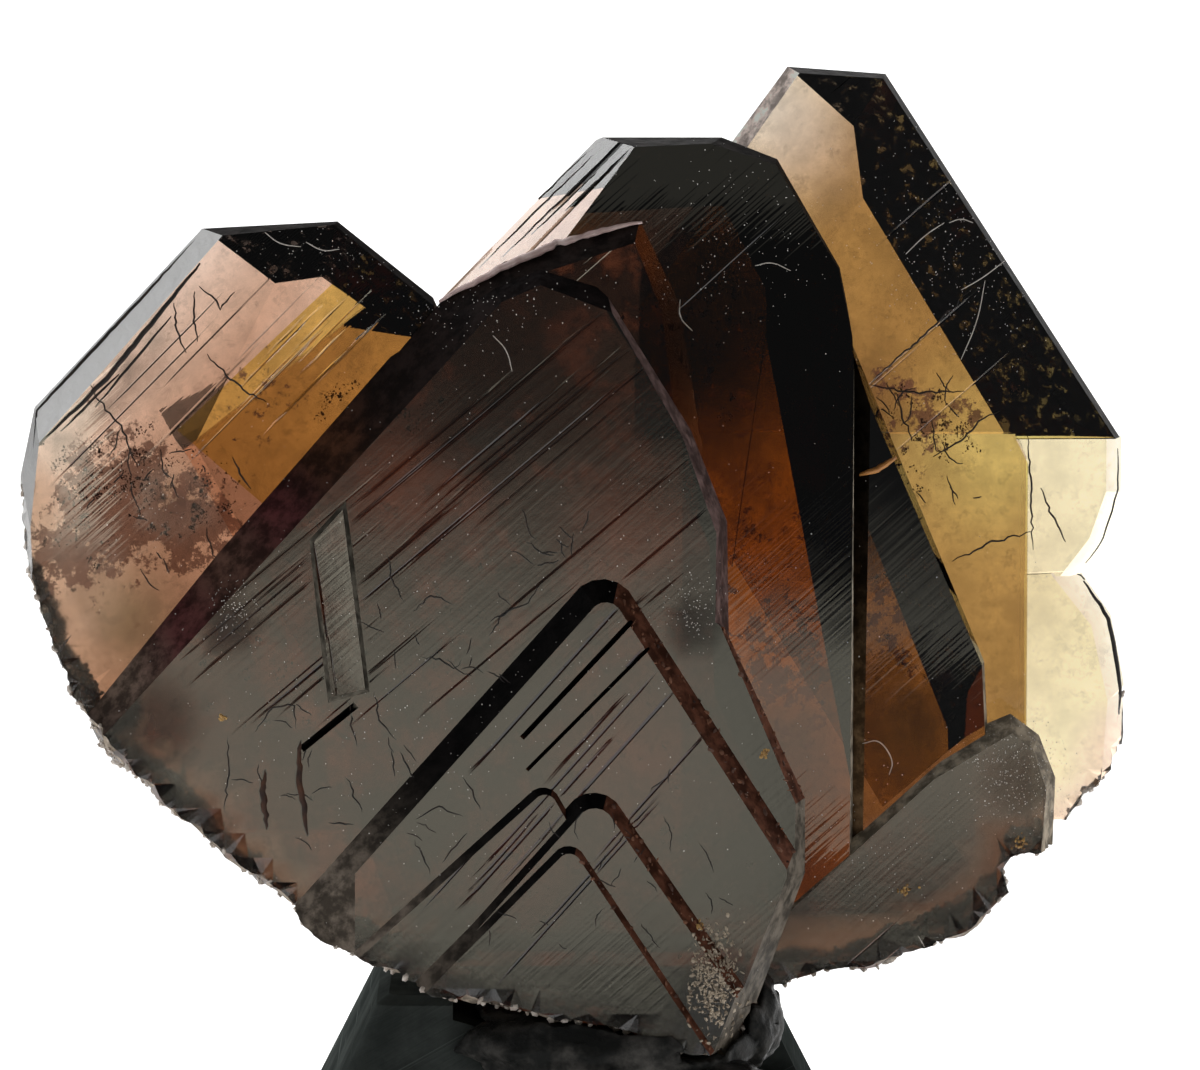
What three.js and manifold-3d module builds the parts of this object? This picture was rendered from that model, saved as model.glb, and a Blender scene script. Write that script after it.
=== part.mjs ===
// A group of axinite crystals grown together, on a small black display stand with a seat of putty.
// Millimetres, +Z up. The front of the crystals faces -Y. The origin is the middle of the stand's underside.
//
// The crystal group is one solid. Each of its crystals is an axe-shaped blade, given by its flat faces:
// a front and a back face, and a row of edges, each edge with two bevels that meet along a crest.
import * as THREE from "three";
import { ConvexGeometry } from "three/addons/geometries/ConvexGeometry.js";
import { LoftGeometry } from "three/addons/geometries/LoftGeometry.js";
import { mergeVertices } from "three/addons/utils/BufferGeometryUtils.js";
import { ImprovedNoise } from "three/addons/math/ImprovedNoise.js";
import Module from "manifold-3d";

const wasm = await Module();
wasm.setup();
const noise = new ImprovedNoise();
const { degToRad, lerp } = THREE.MathUtils;

// Stand: a square frustum with softened edges and a seat cut into the front right of its top.
const STAND_HEIGHT = 12.3;
const STAND_TOP_HALF = 7.6;
const STAND_FLARE = Math.tan(degToRad(25.5));
const STAND_CORNER_RADIUS = 0.7;
const STAND_TOP_ROUNDING = 0.35;
const SEAT_LEFT = -4.6;
const SEAT_BACK = -0.4;
const SEAT_FLOOR_LEFT = 11.4;
const SEAT_FLOOR_RIGHT = 8.2;

// Room left between pieces that touch.
const GAP = 0.3;

// Blades. front and back: a point of the face, and how far it looks up (pitch) and to the right (yaw),
// in degrees. edges, clockwise as seen from the front: the crest from point to point, and how far the bevels
// on its front and back side lean, 0 for square to the front and 90 for flat.
const LEFT_BLADE = {
  front: { at: [-14, -3.4, 34], pitch: 6, yaw: 5 },
  back: { at: [-14, 0.9, 34], pitch: 2, yaw: 4 },
  edges: [
    { from: [-22.4, -2, 26], to: [-22.6, -2, 33.4], front: 12, back: 62 },
    { from: [-22.6, -2, 33.4], to: [-22, -2.6, 36.1], front: 20, back: 60 },
    { from: [-22, -2.8, 36.1], to: [-15, -1.7, 43.5], front: 45, back: 60 },
    { from: [-15, -1.7, 43.5], to: [-9.4, -1.7, 43.8], front: 20, back: 50 },
    { from: [-9.4, -1.7, 43.8], to: [-5.3, -1.6, 40.5], front: 30, back: 50 },
    { from: [-5.3, -1, 40.5], to: [-2, -1, 30], front: 10, back: 10 },
    { from: [-2, -1, 30], to: [-4, -1, 18], front: 10, back: 10 },
    { from: [-4, -1, 18], to: [-18, -1, 18], front: 0, back: 0 },
    { from: [-18, -1, 18], to: [-22.4, -1, 26], front: 0, back: 0 },
  ],
};

const FRONT_FACE = { at: [0, -6.6, 25], pitch: 7, yaw: -2 };

const FRONT_BLADE = {
  front: FRONT_FACE,
  back: { at: [0, 0, 25], pitch: -2, yaw: 2 },
  edges: [
    { from: [-19.9, -4.6, 23.9], to: [-5.6, -2.6, 40.1], front: 40, back: 20 },
    { from: [-5.6, -3.9, 40.1], to: [-1, -3.9, 42], front: 40, back: 45 },
    { from: [-1, -3.9, 42], to: [1.6, -3.9, 41.2], front: 40, back: 45 },
    { from: [1.6, -4.2, 41.2], to: [5.2, -4.2, 35.4], front: 16, back: 30 },
    { from: [5.2, -4.2, 35.4], to: [6.7, -4.2, 31.6], front: 16, back: 30 },
    { from: [6.7, -4.2, 31.6], to: [6.9, -4.2, 20], front: 14, back: 20 },
    { from: [6.9, -4.2, 20], to: [6.9, -4.2, 6], front: 5, back: 5 },
    { from: [6.9, -4.2, 6], to: [-12, -4.2, 6], front: 0, back: 0 },
    { from: [-12, -4.2, 6], to: [-20.6, -4.2, 23], front: 0, back: 0 },
  ],
};

// The front blade spreads to the right near its foot. The terraces on it end at the same edges.
const FLANK_EDGES = [
  { from: [6.6, -6.2, 27.4], to: [9.9, -6.4, 20.4], front: 20, back: 25 },
  { from: [9.9, -6.4, 20.4], to: [9.9, -6.6, 17.3], front: 20, back: 20 },
  { from: [9.9, -6.6, 17.3], to: [7.1, -7, 9.8], front: 20, back: 10 },
];

const FRONT_FLANK = {
  front: FRONT_FACE,
  back: { at: [6, -1, 22], pitch: 0, yaw: 0 },
  edges: [
    { from: [-8, -4, 12], to: [3, -4, 30], front: 0, back: 0 },
    { from: [3, -4, 30], to: [6.6, -4, 27.4], front: 0, back: 0 },
    ...FLANK_EDGES,
    { from: [7.1, -4, 9.8], to: [-8, -4, 12], front: 0, back: 0 },
  ],
};

// A low upright rib on the left part of the front blade.
const RIB = {
  front: { at: [-9.3, -6.27, 27.5], pitch: 7, yaw: 2 },
  back: { at: [-9.3, -3, 27.5], pitch: 0, yaw: 0 },
  edges: [
    { from: [-10.5, -5.6, 31], to: [-9, -5.4, 32.6], front: 30, back: 0 },
    { from: [-9, -5.4, 32.6], to: [-7.9, -6.2, 24.7], front: 35, back: 0 },
    { from: [-7.9, -6.2, 24.7], to: [-9.8, -6.2, 24.2], front: 40, back: 0 },
    { from: [-9.8, -6.2, 24.2], to: [-10.5, -5.6, 31], front: 30, back: 0 },
  ],
};

const VEIL_BLADE = {
  front: { at: [2, -3.7, 38], pitch: 4, yaw: 2 },
  back: { at: [2, 0, 38], pitch: 0, yaw: 0 },
  edges: [
    { from: [-12, -3.4, 32.4], to: [-5.4, -2.5, 40.2], front: 40, back: 10 },
    { from: [-5.4, -2.5, 40.4], to: [-2.5, -2.6, 42.2], front: 40, back: 30 },
    { from: [-2.5, -2.6, 42.2], to: [3.1, -2.4, 43.9], front: 40, back: 30 },
    { from: [3.1, -2.4, 43.9], to: [4.7, -2.2, 40.5], front: 30, back: 30 },
    { from: [4.7, -2.2, 40.5], to: [5.7, -2.2, 34.5], front: 30, back: 30 },
    { from: [5.7, -2.2, 34.5], to: [5.4, -2, 16], front: 10, back: 10 },
    { from: [5.4, -2, 16], to: [-10, -2, 16], front: 0, back: 0 },
    { from: [-10, -2, 16], to: [-12, -2, 32.4], front: 0, back: 0 },
  ],
};

const MIDDLE_BLADE = {
  front: { at: [5, -2.2, 35], pitch: 3, yaw: 7 },
  back: { at: [5, 2.3, 35], pitch: 2, yaw: 3 },
  edges: [
    { from: [-5.2, -0.6, 40.4], to: [1.5, -0.6, 47.3], front: 46, back: 4 },
    { from: [1.5, -0.7, 47.2], to: [6.5, -0.7, 47.2], front: 15, back: 49 },
    { from: [6.5, -0.7, 47.2], to: [8.8, -0.7, 46.3], front: 25, back: 48 },
    { from: [8.8, -0.7, 46.3], to: [11.4, -0.9, 41.8], front: 20, back: 50 },
    { from: [11.4, -0.9, 41.8], to: [12, -1, 38.8], front: 15, back: 50 },
    { from: [12, -1.2, 38.8], to: [12, -1.2, 12], front: 8, back: 50 },
    { from: [12, 0, 12], to: [-6, 0, 12], front: 0, back: 0 },
    { from: [-6, 0, 12], to: [-9, 0, 20], front: 0, back: 0 },
    { from: [-9, 0, 20], to: [-5.2, 0, 40.4], front: 0, back: 0 },
  ],
};

// A narrow cleft parts it from the middle blade's slanting edge and closes towards the foot.
const SIDE_BLADE = {
  front: { at: [14, -0.9, 28], pitch: 2, yaw: 10 },
  back: { at: [5, 2.32, 35], pitch: 2, yaw: 3 },
  edges: [
    { from: [11.9, -1.12, 20], to: [8.3, 1.9, 38], front: 60, back: -60 },
    { from: [11.5, 0, 39.6], to: [17.5, 0, 25.2], front: 18, back: 51 },
    { from: [17.5, 0, 25.2], to: [18.2, 0, 12], front: 15, back: 40 },
    { from: [18.2, 2, 12], to: [8, 2, 12], front: 0, back: 0 },
  ],
};

// The right-hand crystal stands behind the others, with a narrow cleft between them down to the foot.
const RIGHT_FACE = { at: [15, 2.9, 40], pitch: 1, yaw: 2 };

const RIGHT_BLADE = {
  front: RIGHT_FACE,
  back: { at: [15, 7, 40], pitch: 1, yaw: -2 },
  edges: [
    { from: [3, 3.7, 34.2], to: [3, 3.7, 41], front: 0, back: 0 },
    { from: [-2, 3.7, 34.4], to: [9.3, 3.7, 49.8], front: 32, back: 62 },
    { from: [9.3, 3.7, 49.8], to: [13.4, 3.7, 49.5], front: 12, back: 50 },
    { from: [13.4, 3.7, 49.5], to: [23.3, 3.8, 34.2], front: 14, back: 50 },
    { from: [23.2, 3.6, 34.2], to: [3, 3.6, 34.2], front: 0, back: 0 },
  ],
};

const RIGHT_STEM = {
  front: RIGHT_FACE,
  back: { at: [15, 6.3, 28], pitch: 2, yaw: 2 },
  edges: [
    { from: [5, 4, 14], to: [5, 4, 35], front: 0, back: 0 },
    { from: [5, 4, 35], to: [18, 4, 36], front: 0, back: 0 },
    { from: [18, 4, 36], to: [19.5, 4, 33], front: 0, back: 0 },
    { from: [19.5, 4, 33], to: [19.5, 4, 14], front: 5, back: 10 },
    { from: [19.5, 4, 14], to: [5, 4, 14], front: 0, back: 0 },
  ],
};

// Thin pale plates that finish the right-hand crystal below its bevel.
const UPPER_PLATE = {
  front: { at: [20, 3.5, 31], pitch: 0, yaw: 5 },
  back: { at: [20, 4.9, 31], pitch: 2, yaw: -1 },
  edges: [
    { from: [14, 4, 28], to: [14, 4, 34.4], front: 0, back: 0 },
    { from: [14, 4, 34.4], to: [23.4, 4, 34.2], front: 4, back: 4 },
    { from: [23.4, 4.4, 34.2], to: [23.4, 4.4, 31.8], front: 45, back: 20 },
    { from: [23.4, 4.4, 31.8], to: [22.7, 4.4, 29.6], front: 45, back: 20 },
    { from: [22.7, 4.4, 29.6], to: [21.8, 4.4, 28.3], front: 45, back: 20 },
    { from: [21.8, 4, 28.3], to: [14, 4, 28], front: 10, back: 10 },
  ],
};

const LOWER_PLATE = {
  front: { at: [20, 3.4, 24], pitch: 0, yaw: 5 },
  back: { at: [20, 5, 24], pitch: -2, yaw: -1 },
  edges: [
    { from: [12, 4, 18], to: [12, 4, 28.4], front: 0, back: 0 },
    { from: [12, 4, 28.4], to: [21.6, 4, 28.6], front: 12, back: 12 },
    { from: [21.6, 4.5, 28.6], to: [23, 4.5, 26.6], front: 45, back: 20 },
    { from: [23, 4.5, 26.6], to: [23.6, 4.5, 23.6], front: 45, back: 20 },
    { from: [23.6, 4.5, 23.6], to: [23.4, 4.5, 20.6], front: 40, back: 20 },
    { from: [23.4, 4, 20.6], to: [22, 4, 18], front: 10, back: 10 },
    { from: [22, 4, 18], to: [12, 4, 18], front: 0, back: 0 },
  ],
};

const BASE_FLANK = {
  front: { at: [7.1, -3.4, 13.4], pitch: 8, yaw: 6 },
  back: { at: [14, 4.4, 17], pitch: 0, yaw: 0 },
  edges: [
    { from: [5, -2.8, 12], to: [17.2, -0.6, 22.4], front: 28, back: 0 },
    { from: [17.2, 0, 22.4], to: [18.6, 0, 23], front: 35, back: 10 },
    { from: [18.6, 0, 23], to: [19.8, 0, 22.1], front: 30, back: 10 },
    { from: [19.8, 0, 22.1], to: [20.5, 0, 20.3], front: 25, back: 10 },
    { from: [20.5, 0, 20.3], to: [20.2, 0, 12], front: 20, back: 10 },
    { from: [20.2, 0, 12], to: [14, 0, 9], front: 0, back: 0 },
    { from: [14, 0, 9], to: [5, 0, 11.6], front: 0, back: 0 },
  ],
};

// A blade at the back whose left edge shows through the left-hand crystal.
const REAR_BLADE = {
  front: { at: [-6, -1, 32], pitch: 0, yaw: 0 },
  back: { at: [-6, 2.8, 32], pitch: 1, yaw: 3 },
  edges: [
    { from: [-16, 1.4, 34], to: [-8.4, 1.4, 40], front: 0, back: 8 },
    { from: [-8.4, 1.4, 40], to: [2, 1.4, 38], front: 0, back: 40 },
    { from: [2, 1.4, 38], to: [3, 1.4, 16], front: 0, back: 20 },
    { from: [3, 1.4, 16], to: [-6, 1.4, 16], front: 0, back: 0 },
    { from: [-6, 1.4, 16], to: [-16, 1.4, 34], front: 0, back: 8 },
  ],
};

// Growth terraces on the front blade, each a chevron with a round apex that stands proud of the one below.
// left and right: how steeply its two edges fall away from the apex; lift: how far it stands off the blade.
const TERRACES = [
  { apex: [1.7, 28.6], radius: 0.7, left: 48, right: 57, lift: 0.9, leftLean: 42, rightLean: 36 },
  { apex: [-0.8, 20.8], radius: 0.5, left: 42, right: 60, lift: 1.2, leftLean: 42, rightLean: 30 },
  { apex: [1.25, 20.3], radius: 0.8, left: 48, right: 55, lift: 1.5, leftLean: 40, rightLean: 38 },
  { apex: [0.2, 18.5], radius: 0.5, left: 45, right: 56, lift: 1.8, leftLean: 40, rightLean: 36 },
];
const TERRACE_ROOT = 2;
const TERRACE_FOOT = 7;
const TERRACE_LEFT = -8.6;
const TERRACE_FADE = 10;
const APEX_FACES = 5;

// Sharp growth furrows on the terraces and the front blade, from point to point as [x, z].
const FURROWS = [
  { from: [-1.9, 22.9], to: [3, 28.1], lift: 0.9, width: 0.22 },
  { from: [-1.7, 21.6], to: [3.7, 27], lift: 0.9, width: 0.16 },
  { from: [-11, 22.3], to: [-8.4, 24.4], lift: 0, width: 0.3 },
];
const FURROW_DEPTH = 0.45;

// The broken underside: its run below the crystals as seen from the front, and how rough it is.
const BREAK_LINE = [
  [-24.5, 33.6], [-22.5, 33.2], [-22.3, 30.7], [-21.7, 28.2], [-20.9, 26], [-19.6, 23.7], [-18.8, 22.2],
  [-17.3, 21], [-15, 19.4], [-14.3, 18.2], [-12.9, 17.3], [-11.5, 15.9], [-10.5, 14.9], [-7.8, 13.8],
  [-4.2, 12.6], [-0.2, 11.7], [4, 10.8], [7.1, 9.9], [7.3, 12.2], [9.4, 12.4], [11.9, 12.8], [14.8, 13.5],
  [16.5, 14.2], [18.5, 15.7], [18.3, 17.2], [20.6, 17.6], [21.9, 18.6], [22.9, 19.9], [23.1, 21.4],
  [25.5, 21.7],
];
const BREAK_STEP = 0.85;
const BREAK_DEPTH_HALF = 12;
const BREAK_ROWS = 26;
const BREAK_ROUGHNESS = 0.42;
const BREAK_GRAIN = 0.75;
const BREAK_SIDE = 40;
const BREAK_FLOOR = -6;

// The putty: a hand-pressed lump in the seat, squeezed up in front of the crystals' foot and at its right.
const PUTTY_LUMPS = [
  { at: [1.5, -6.2, 10.3], half: [6.9, 5.2, 1.9] },
  { at: [7.2, -4.4, 10.9], half: [1.8, 3.2, 2.2] },
  { at: [6.2, -9.2, 8.6], half: [2.6, 2, 1.3] },
];
const PUTTY_DETAIL = 7;
const PUTTY_LUMPINESS = 0.14;
const PUTTY_GRAIN = 2.3;

// Colours
const CRYSTAL_COLOUR = 0x6b4a2c;
const STAND_COLOUR = 0x141618;
const PUTTY_COLOUR = 0x1a1a1a;

// A flat face through a point, looking along an outward normal.
function face(point, normal) {
  const n = normal.clone().normalize();
  return { n, d: n.dot(point) };
}

// A front (facing -1) or back (facing +1) face from its point, pitch and yaw.
function tabularFace({ at, pitch, yaw }, facing) {
  const up = Math.tan(degToRad(pitch));
  const across = Math.tan(degToRad(yaw));
  return face(new THREE.Vector3(...at), new THREE.Vector3(across, facing, up));
}

// One bevel of an edge: the face through its crest that leans to the front (negative) or back (positive).
function bevelFace({ from, to }, lean) {
  const start = new THREE.Vector3(...from);
  const along = new THREE.Vector3(...to).sub(start).normalize();
  const out = new THREE.Vector3(-along.z, 0, along.x).normalize();
  const back = out.clone().cross(along);
  const tilt = degToRad(lean);
  return face(start, out.multiplyScalar(Math.cos(tilt)).addScaledVector(back, Math.sin(tilt)));
}

function bladeFaces(blade) {
  const bevels = blade.edges.flatMap((edge) => [bevelFace(edge, -edge.front), bevelFace(edge, edge.back)]);
  return [tabularFace(blade.front, -1), tabularFace(blade.back, 1), ...bevels];
}

// The point where three faces meet, or null where two of them are parallel.
function corner(a, b, c) {
  const bc = b.n.clone().cross(c.n);
  const share = a.n.dot(bc);
  if (Math.abs(share) < 1e-6) return null;
  const ca = c.n.clone().cross(a.n);
  const ab = a.n.clone().cross(b.n);
  return bc.multiplyScalar(a.d).addScaledVector(ca, b.d).addScaledVector(ab, c.d).divideScalar(share);
}

// The crystal that a set of faces encloses, with every face moved out by grow.
function enclosed(faces, grow = 0) {
  const moved = faces.map(({ n, d }) => ({ n, d: d + grow }));
  const corners = [];
  moved.forEach((a, i) =>
    moved.slice(i + 1).forEach((b, j) =>
      moved.slice(i + j + 2).forEach((c) => {
        const p = corner(a, b, c);
        if (p === null || moved.some(({ n, d }) => n.dot(p) > d + 1e-5)) return;
        if (!corners.some((q) => q.distanceTo(p) < 1e-3)) corners.push(p);
      }),
    ),
  );
  return solid(new ConvexGeometry(corners));
}

// A closed geometry as a solid that can be joined and cut.
function solid(geometry) {
  const bare = new THREE.BufferGeometry().copy(geometry);
  bare.deleteAttribute("normal");
  bare.deleteAttribute("uv");
  const merged = mergeVertices(bare, 1e-4);
  const vertProperties = new Float32Array(merged.attributes.position.array);
  const triVerts = new Uint32Array(merged.index.array);
  return new wasm.Manifold(new wasm.Mesh({ numProp: 3, vertProperties, triVerts }));
}

function joined(solids) {
  return solids.reduce((sum, next) => sum.add(next));
}

// The front blade's face moved out by lift, and the point of it seen at x, z.
function liftedFront(lift) {
  const { n, d } = tabularFace(FRONT_FACE, -1);
  return { n, d: d + lift };
}

function onFace({ n, d }, x, z) {
  return [x, (d - n.x * x - n.z * z) / n.y, z];
}

// A chevron terrace: two straight flanks, a round apex between them made of short faces, and a flat front.
function terraceFaces({ apex, radius, left, right, lift, leftLean, rightLean }) {
  const front = liftedFront(lift);
  const flanks = [];
  for (let i = 0; i <= APEX_FACES; i++) {
    const share = i / APEX_FACES;
    const slope = degToRad(lerp(90 + left, 90 - right, share));
    const x = apex[0] + radius * Math.cos(slope);
    const z = apex[1] - radius + radius * Math.sin(slope);
    const from = onFace(front, x, z);
    const to = onFace(front, x + Math.sin(slope), z - Math.cos(slope));
    flanks.push(bevelFace({ from, to }, -lerp(leftLean, rightLean, share)));
  }
  const crest = new THREE.Vector3(...onFace(front, ...apex));
  const root = face(crest.addScaledVector(front.n, -TERRACE_ROOT), front.n.clone().negate());
  const foot = face(new THREE.Vector3(0, 0, TERRACE_FOOT), new THREE.Vector3(0, 0, -1));
  const fadeStart = new THREE.Vector3(...onFace(front, TERRACE_LEFT, apex[1]));
  const leftwards = new THREE.Vector3(-Math.tan(degToRad(TERRACE_FADE)), 0, 0);
  const fade = face(fadeStart, front.n.clone().add(leftwards));
  const rightEnds = FLANK_EDGES.map((edge) => bevelFace(edge, -edge.front));
  return [front, root, foot, fade, ...rightEnds, ...flanks];
}

// A furrow: a sharp wedge sunk into the lifted front face.
function furrow({ from, to, lift, width }) {
  const front = liftedFront(lift);
  const start = new THREE.Vector3(...onFace(front, ...from));
  const end = new THREE.Vector3(...onFace(front, ...to));
  const along = end.clone().sub(start).normalize();
  const across = front.n.clone().cross(along);
  const over = front.n.clone().multiplyScalar(FURROW_DEPTH);
  const rim = across.multiplyScalar(width);
  const tip = (p, step) => p.clone().addScaledVector(front.n, -FURROW_DEPTH).addScaledVector(along, step);
  const points = [start, end].flatMap((p) => [p.clone().add(over).add(rim), p.clone().add(over).sub(rim)]);
  return solid(new ConvexGeometry([...points, tip(start, FURROW_DEPTH), tip(end, -FURROW_DEPTH)]));
}

// Points at an even step along the broken underside.
function breakPoints() {
  const path = new THREE.CurvePath();
  BREAK_LINE.slice(1).forEach(([x, z], i) => {
    path.add(new THREE.LineCurve(new THREE.Vector2(...BREAK_LINE[i]), new THREE.Vector2(x, z)));
  });
  return path.getSpacedPoints(Math.round(path.getLength() / BREAK_STEP));
}

// Everything outside the broken underside: a rough surface along the break line, closed well below it.
function brokenGround(drop = 0) {
  const points = breakPoints();
  const sections = [];
  for (let row = 0; row <= BREAK_ROWS; row++) {
    const y = lerp(-BREAK_DEPTH_HALF, BREAK_DEPTH_HALF, row / BREAK_ROWS);
    const rough = points.map((p, i) => {
      const before = points[Math.max(i - 1, 0)];
      const after = points[Math.min(i + 1, points.length - 1)];
      const out = new THREE.Vector2(after.y - before.y, before.x - after.x).normalize();
      const g = BREAK_GRAIN;
      const coarse = noise.noise(p.x * g * 0.4, y * g * 0.4, p.y * g * 0.4);
      const fine = noise.noise(p.x * g + 7, y * g + 3, p.y * g);
      const push = drop + BREAK_ROUGHNESS * (1.6 * coarse + fine);
      return new THREE.Vector3(p.x + out.x * push, y, p.y + out.y * push);
    });
    const below = [
      new THREE.Vector3(BREAK_SIDE, y, points.at(-1).y),
      new THREE.Vector3(BREAK_SIDE, y, BREAK_FLOOR),
      new THREE.Vector3(-BREAK_SIDE, y, BREAK_FLOOR),
      new THREE.Vector3(-BREAK_SIDE, y, points[0].y),
    ];
    sections.push([...rough, ...below]);
  }
  return solid(new LoftGeometry(sections, { capStart: true, capEnd: true }));
}

// A rounded square ring at one height of the stand.
function squareRing(half, radius, z) {
  const inner = half - radius;
  const shape = new THREE.Shape();
  shape.absarc(inner, inner, radius, 0, Math.PI / 2);
  shape.absarc(-inner, inner, radius, Math.PI / 2, Math.PI);
  shape.absarc(-inner, -inner, radius, Math.PI, Math.PI * 1.5);
  shape.absarc(inner, -inner, radius, Math.PI * 1.5, Math.PI * 2);
  return shape.getPoints(4).map((p) => new THREE.Vector3(p.x, p.y, z));
}

function standHalf(z) {
  return STAND_TOP_HALF + (STAND_HEIGHT - z) * STAND_FLARE;
}

// The whole frustum, moved out by grow.
function frustum(grow = 0) {
  const top = STAND_HEIGHT + grow;
  const soft = STAND_TOP_ROUNDING;
  const rings = [
    squareRing(standHalf(0) - soft + grow, STAND_CORNER_RADIUS, -grow),
    squareRing(standHalf(soft) + grow, STAND_CORNER_RADIUS, soft),
    squareRing(standHalf(top - soft) + grow, STAND_CORNER_RADIUS, top - soft),
    squareRing(standHalf(top) - soft + grow, STAND_CORNER_RADIUS, top),
  ];
  return solid(new LoftGeometry(rings, { capStart: true, capEnd: true }));
}

// The seat: open to the front, the right and above, with a floor that falls to the right.
function seat(shrink = 0) {
  const reach = 30;
  const fall = (SEAT_FLOOR_LEFT - SEAT_FLOOR_RIGHT) / (STAND_TOP_HALF - SEAT_LEFT);
  const sides = [
    face(new THREE.Vector3(SEAT_LEFT, 0, SEAT_FLOOR_LEFT), new THREE.Vector3(-fall, 0, -1)),
    face(new THREE.Vector3(SEAT_LEFT, 0, 0), new THREE.Vector3(-1, 0, 0)),
    face(new THREE.Vector3(reach, 0, 0), new THREE.Vector3(1, 0, 0)),
    face(new THREE.Vector3(0, -reach, 0), new THREE.Vector3(0, -1, 0)),
    face(new THREE.Vector3(0, SEAT_BACK, 0), new THREE.Vector3(0, 1, 0)),
    face(new THREE.Vector3(0, 0, reach), new THREE.Vector3(0, 0, 1)),
  ];
  return enclosed(sides, -shrink);
}

// All blades and terraces joined, with every face moved out by grow.
function crystalGroup(grow = 0) {
  const blades = [
    LEFT_BLADE, FRONT_BLADE, FRONT_FLANK, RIB, VEIL_BLADE, MIDDLE_BLADE, SIDE_BLADE, RIGHT_BLADE,
    RIGHT_STEM, UPPER_PLATE, LOWER_PLATE, BASE_FLANK, REAR_BLADE,
  ].map(bladeFaces);
  const terraces = TERRACES.map(terraceFaces);
  return joined([...blades, ...terraces].map((faces) => enclosed(faces, grow)));
}

function lump({ at, half }) {
  const ball = new THREE.IcosahedronGeometry(1, PUTTY_DETAIL);
  const place = ball.getAttribute("position");
  const p = new THREE.Vector3();
  for (let i = 0; i < place.count; i++) {
    p.fromBufferAttribute(place, i);
    const q = p.clone().multiplyScalar(PUTTY_GRAIN);
    const swell = 1 + PUTTY_LUMPINESS * noise.noise(q.x + at[0], q.y + at[1], q.z);
    p.multiply(new THREE.Vector3(...half)).multiplyScalar(swell).add(new THREE.Vector3(...at));
    place.setXYZ(i, p.x, p.y, p.z);
  }
  return solid(ball);
}

function node(name, piece, colour, roughness) {
  const { vertProperties, triVerts } = piece.getMesh();
  const geometry = new THREE.BufferGeometry();
  geometry.setAttribute("position", new THREE.BufferAttribute(vertProperties, 3));
  geometry.setIndex(new THREE.BufferAttribute(triVerts, 1));
  geometry.computeVertexNormals();
  const material = new THREE.MeshStandardMaterial({ color: colour, roughness, metalness: 0 });
  const mesh = new THREE.Mesh(geometry, material);
  mesh.name = name;
  return mesh;
}

const standRoom = frustum(GAP).subtract(seat(GAP));
const stand = frustum().subtract(seat());
const furrows = joined(FURROWS.map(furrow));
const crystal = crystalGroup().subtract(furrows).subtract(brokenGround()).subtract(standRoom);
const crystalRoom = crystalGroup(GAP).subtract(brokenGround(GAP));
const putty = joined(PUTTY_LUMPS.map(lump)).subtract(crystalRoom).subtract(standRoom);

const axinite = new THREE.Group();
axinite.add(node("crystal", crystal, CRYSTAL_COLOUR, 0.1));
axinite.add(node("stand", stand, STAND_COLOUR, 0.35));
axinite.add(node("putty", putty, PUTTY_COLOUR, 0.6));

export default axinite;
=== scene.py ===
import math
import random
import bmesh
import bpy
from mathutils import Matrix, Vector, noise
from mathutils.bvhtree import BVHTree


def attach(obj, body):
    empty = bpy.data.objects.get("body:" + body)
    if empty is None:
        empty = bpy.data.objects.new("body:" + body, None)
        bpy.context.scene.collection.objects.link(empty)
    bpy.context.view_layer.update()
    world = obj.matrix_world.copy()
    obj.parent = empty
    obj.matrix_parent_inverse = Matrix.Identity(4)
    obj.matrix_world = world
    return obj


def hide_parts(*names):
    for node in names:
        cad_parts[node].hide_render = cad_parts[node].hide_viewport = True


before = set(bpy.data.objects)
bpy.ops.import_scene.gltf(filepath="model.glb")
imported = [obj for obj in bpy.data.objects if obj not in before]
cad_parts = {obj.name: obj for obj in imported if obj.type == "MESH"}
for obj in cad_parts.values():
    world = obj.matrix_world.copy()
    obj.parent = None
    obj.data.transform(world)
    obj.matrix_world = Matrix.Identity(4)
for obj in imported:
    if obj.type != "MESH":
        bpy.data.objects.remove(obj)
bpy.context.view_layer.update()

MM = 0.001

# Camera: nearly level with the specimen, on a long lens. Places in the picture plane are (across, up) in mm.
ELEVATION = math.radians(7)
FRAME_WIDTH = 50 * MM
FRAME_CENTRE = (1.458 * MM, 30.29 * MM)
CAMERA_DISTANCE = 0.42
SENSOR_WIDTH = 36
CRYSTAL_DEPTH = -4 * MM
AHEAD = Vector((0, math.cos(ELEVATION), -math.sin(ELEVATION)))
ABOVE = Vector((0, math.sin(ELEVATION), math.cos(ELEVATION)))

# White cards in front of the crystals: left, right, low and high edge in mm, the share that fades at the top,
# and how brightly the card glows.
CARD_DEPTH = -360
FRONT_CARDS = {
    "front blade card": (-75, -4, 40, 82, 0.42, 1.65),
    "rib card": (6, 25, 61, 84, 0.2, 3.1),
    "foot card": (62, 118, 60, 100, 0.2, 1.7),
    "middle top card": (84, 112, 49, 59, 0.3, 0.24),
    "middle blade card": (86, 114, -8, 22, 0.35, 1.2),
    "side blade card": (128, 164, -10, 14, 0.6, 0.6),
    "left blade card": (40, 60, 50, 63, 0.5, 1.2),
}
CARD_COLOUR = (1, 0.95, 0.76)
# A small lamp up on the left, which the upper left bevels mirror.
KEY_PLACE = (-0.269, -0.039, 0.275)
KEY_SIZE = 0.08
KEY_GLOW = 6
# Painted shade: the floor paper's colour darkens towards the camera, from one line in front of the object to
# another, and its painted glow fades out there too.
FLOOR_PALE = -0.1
FLOOR_DARK = -0.24
# The studio glows dimly in front and brightly at the back, with a soft turn between the two.
FRONT_GLOW = 0.07
BACK_GLOW = 2.6
GLOW_TURN = (-0.25, 0.75)

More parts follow.
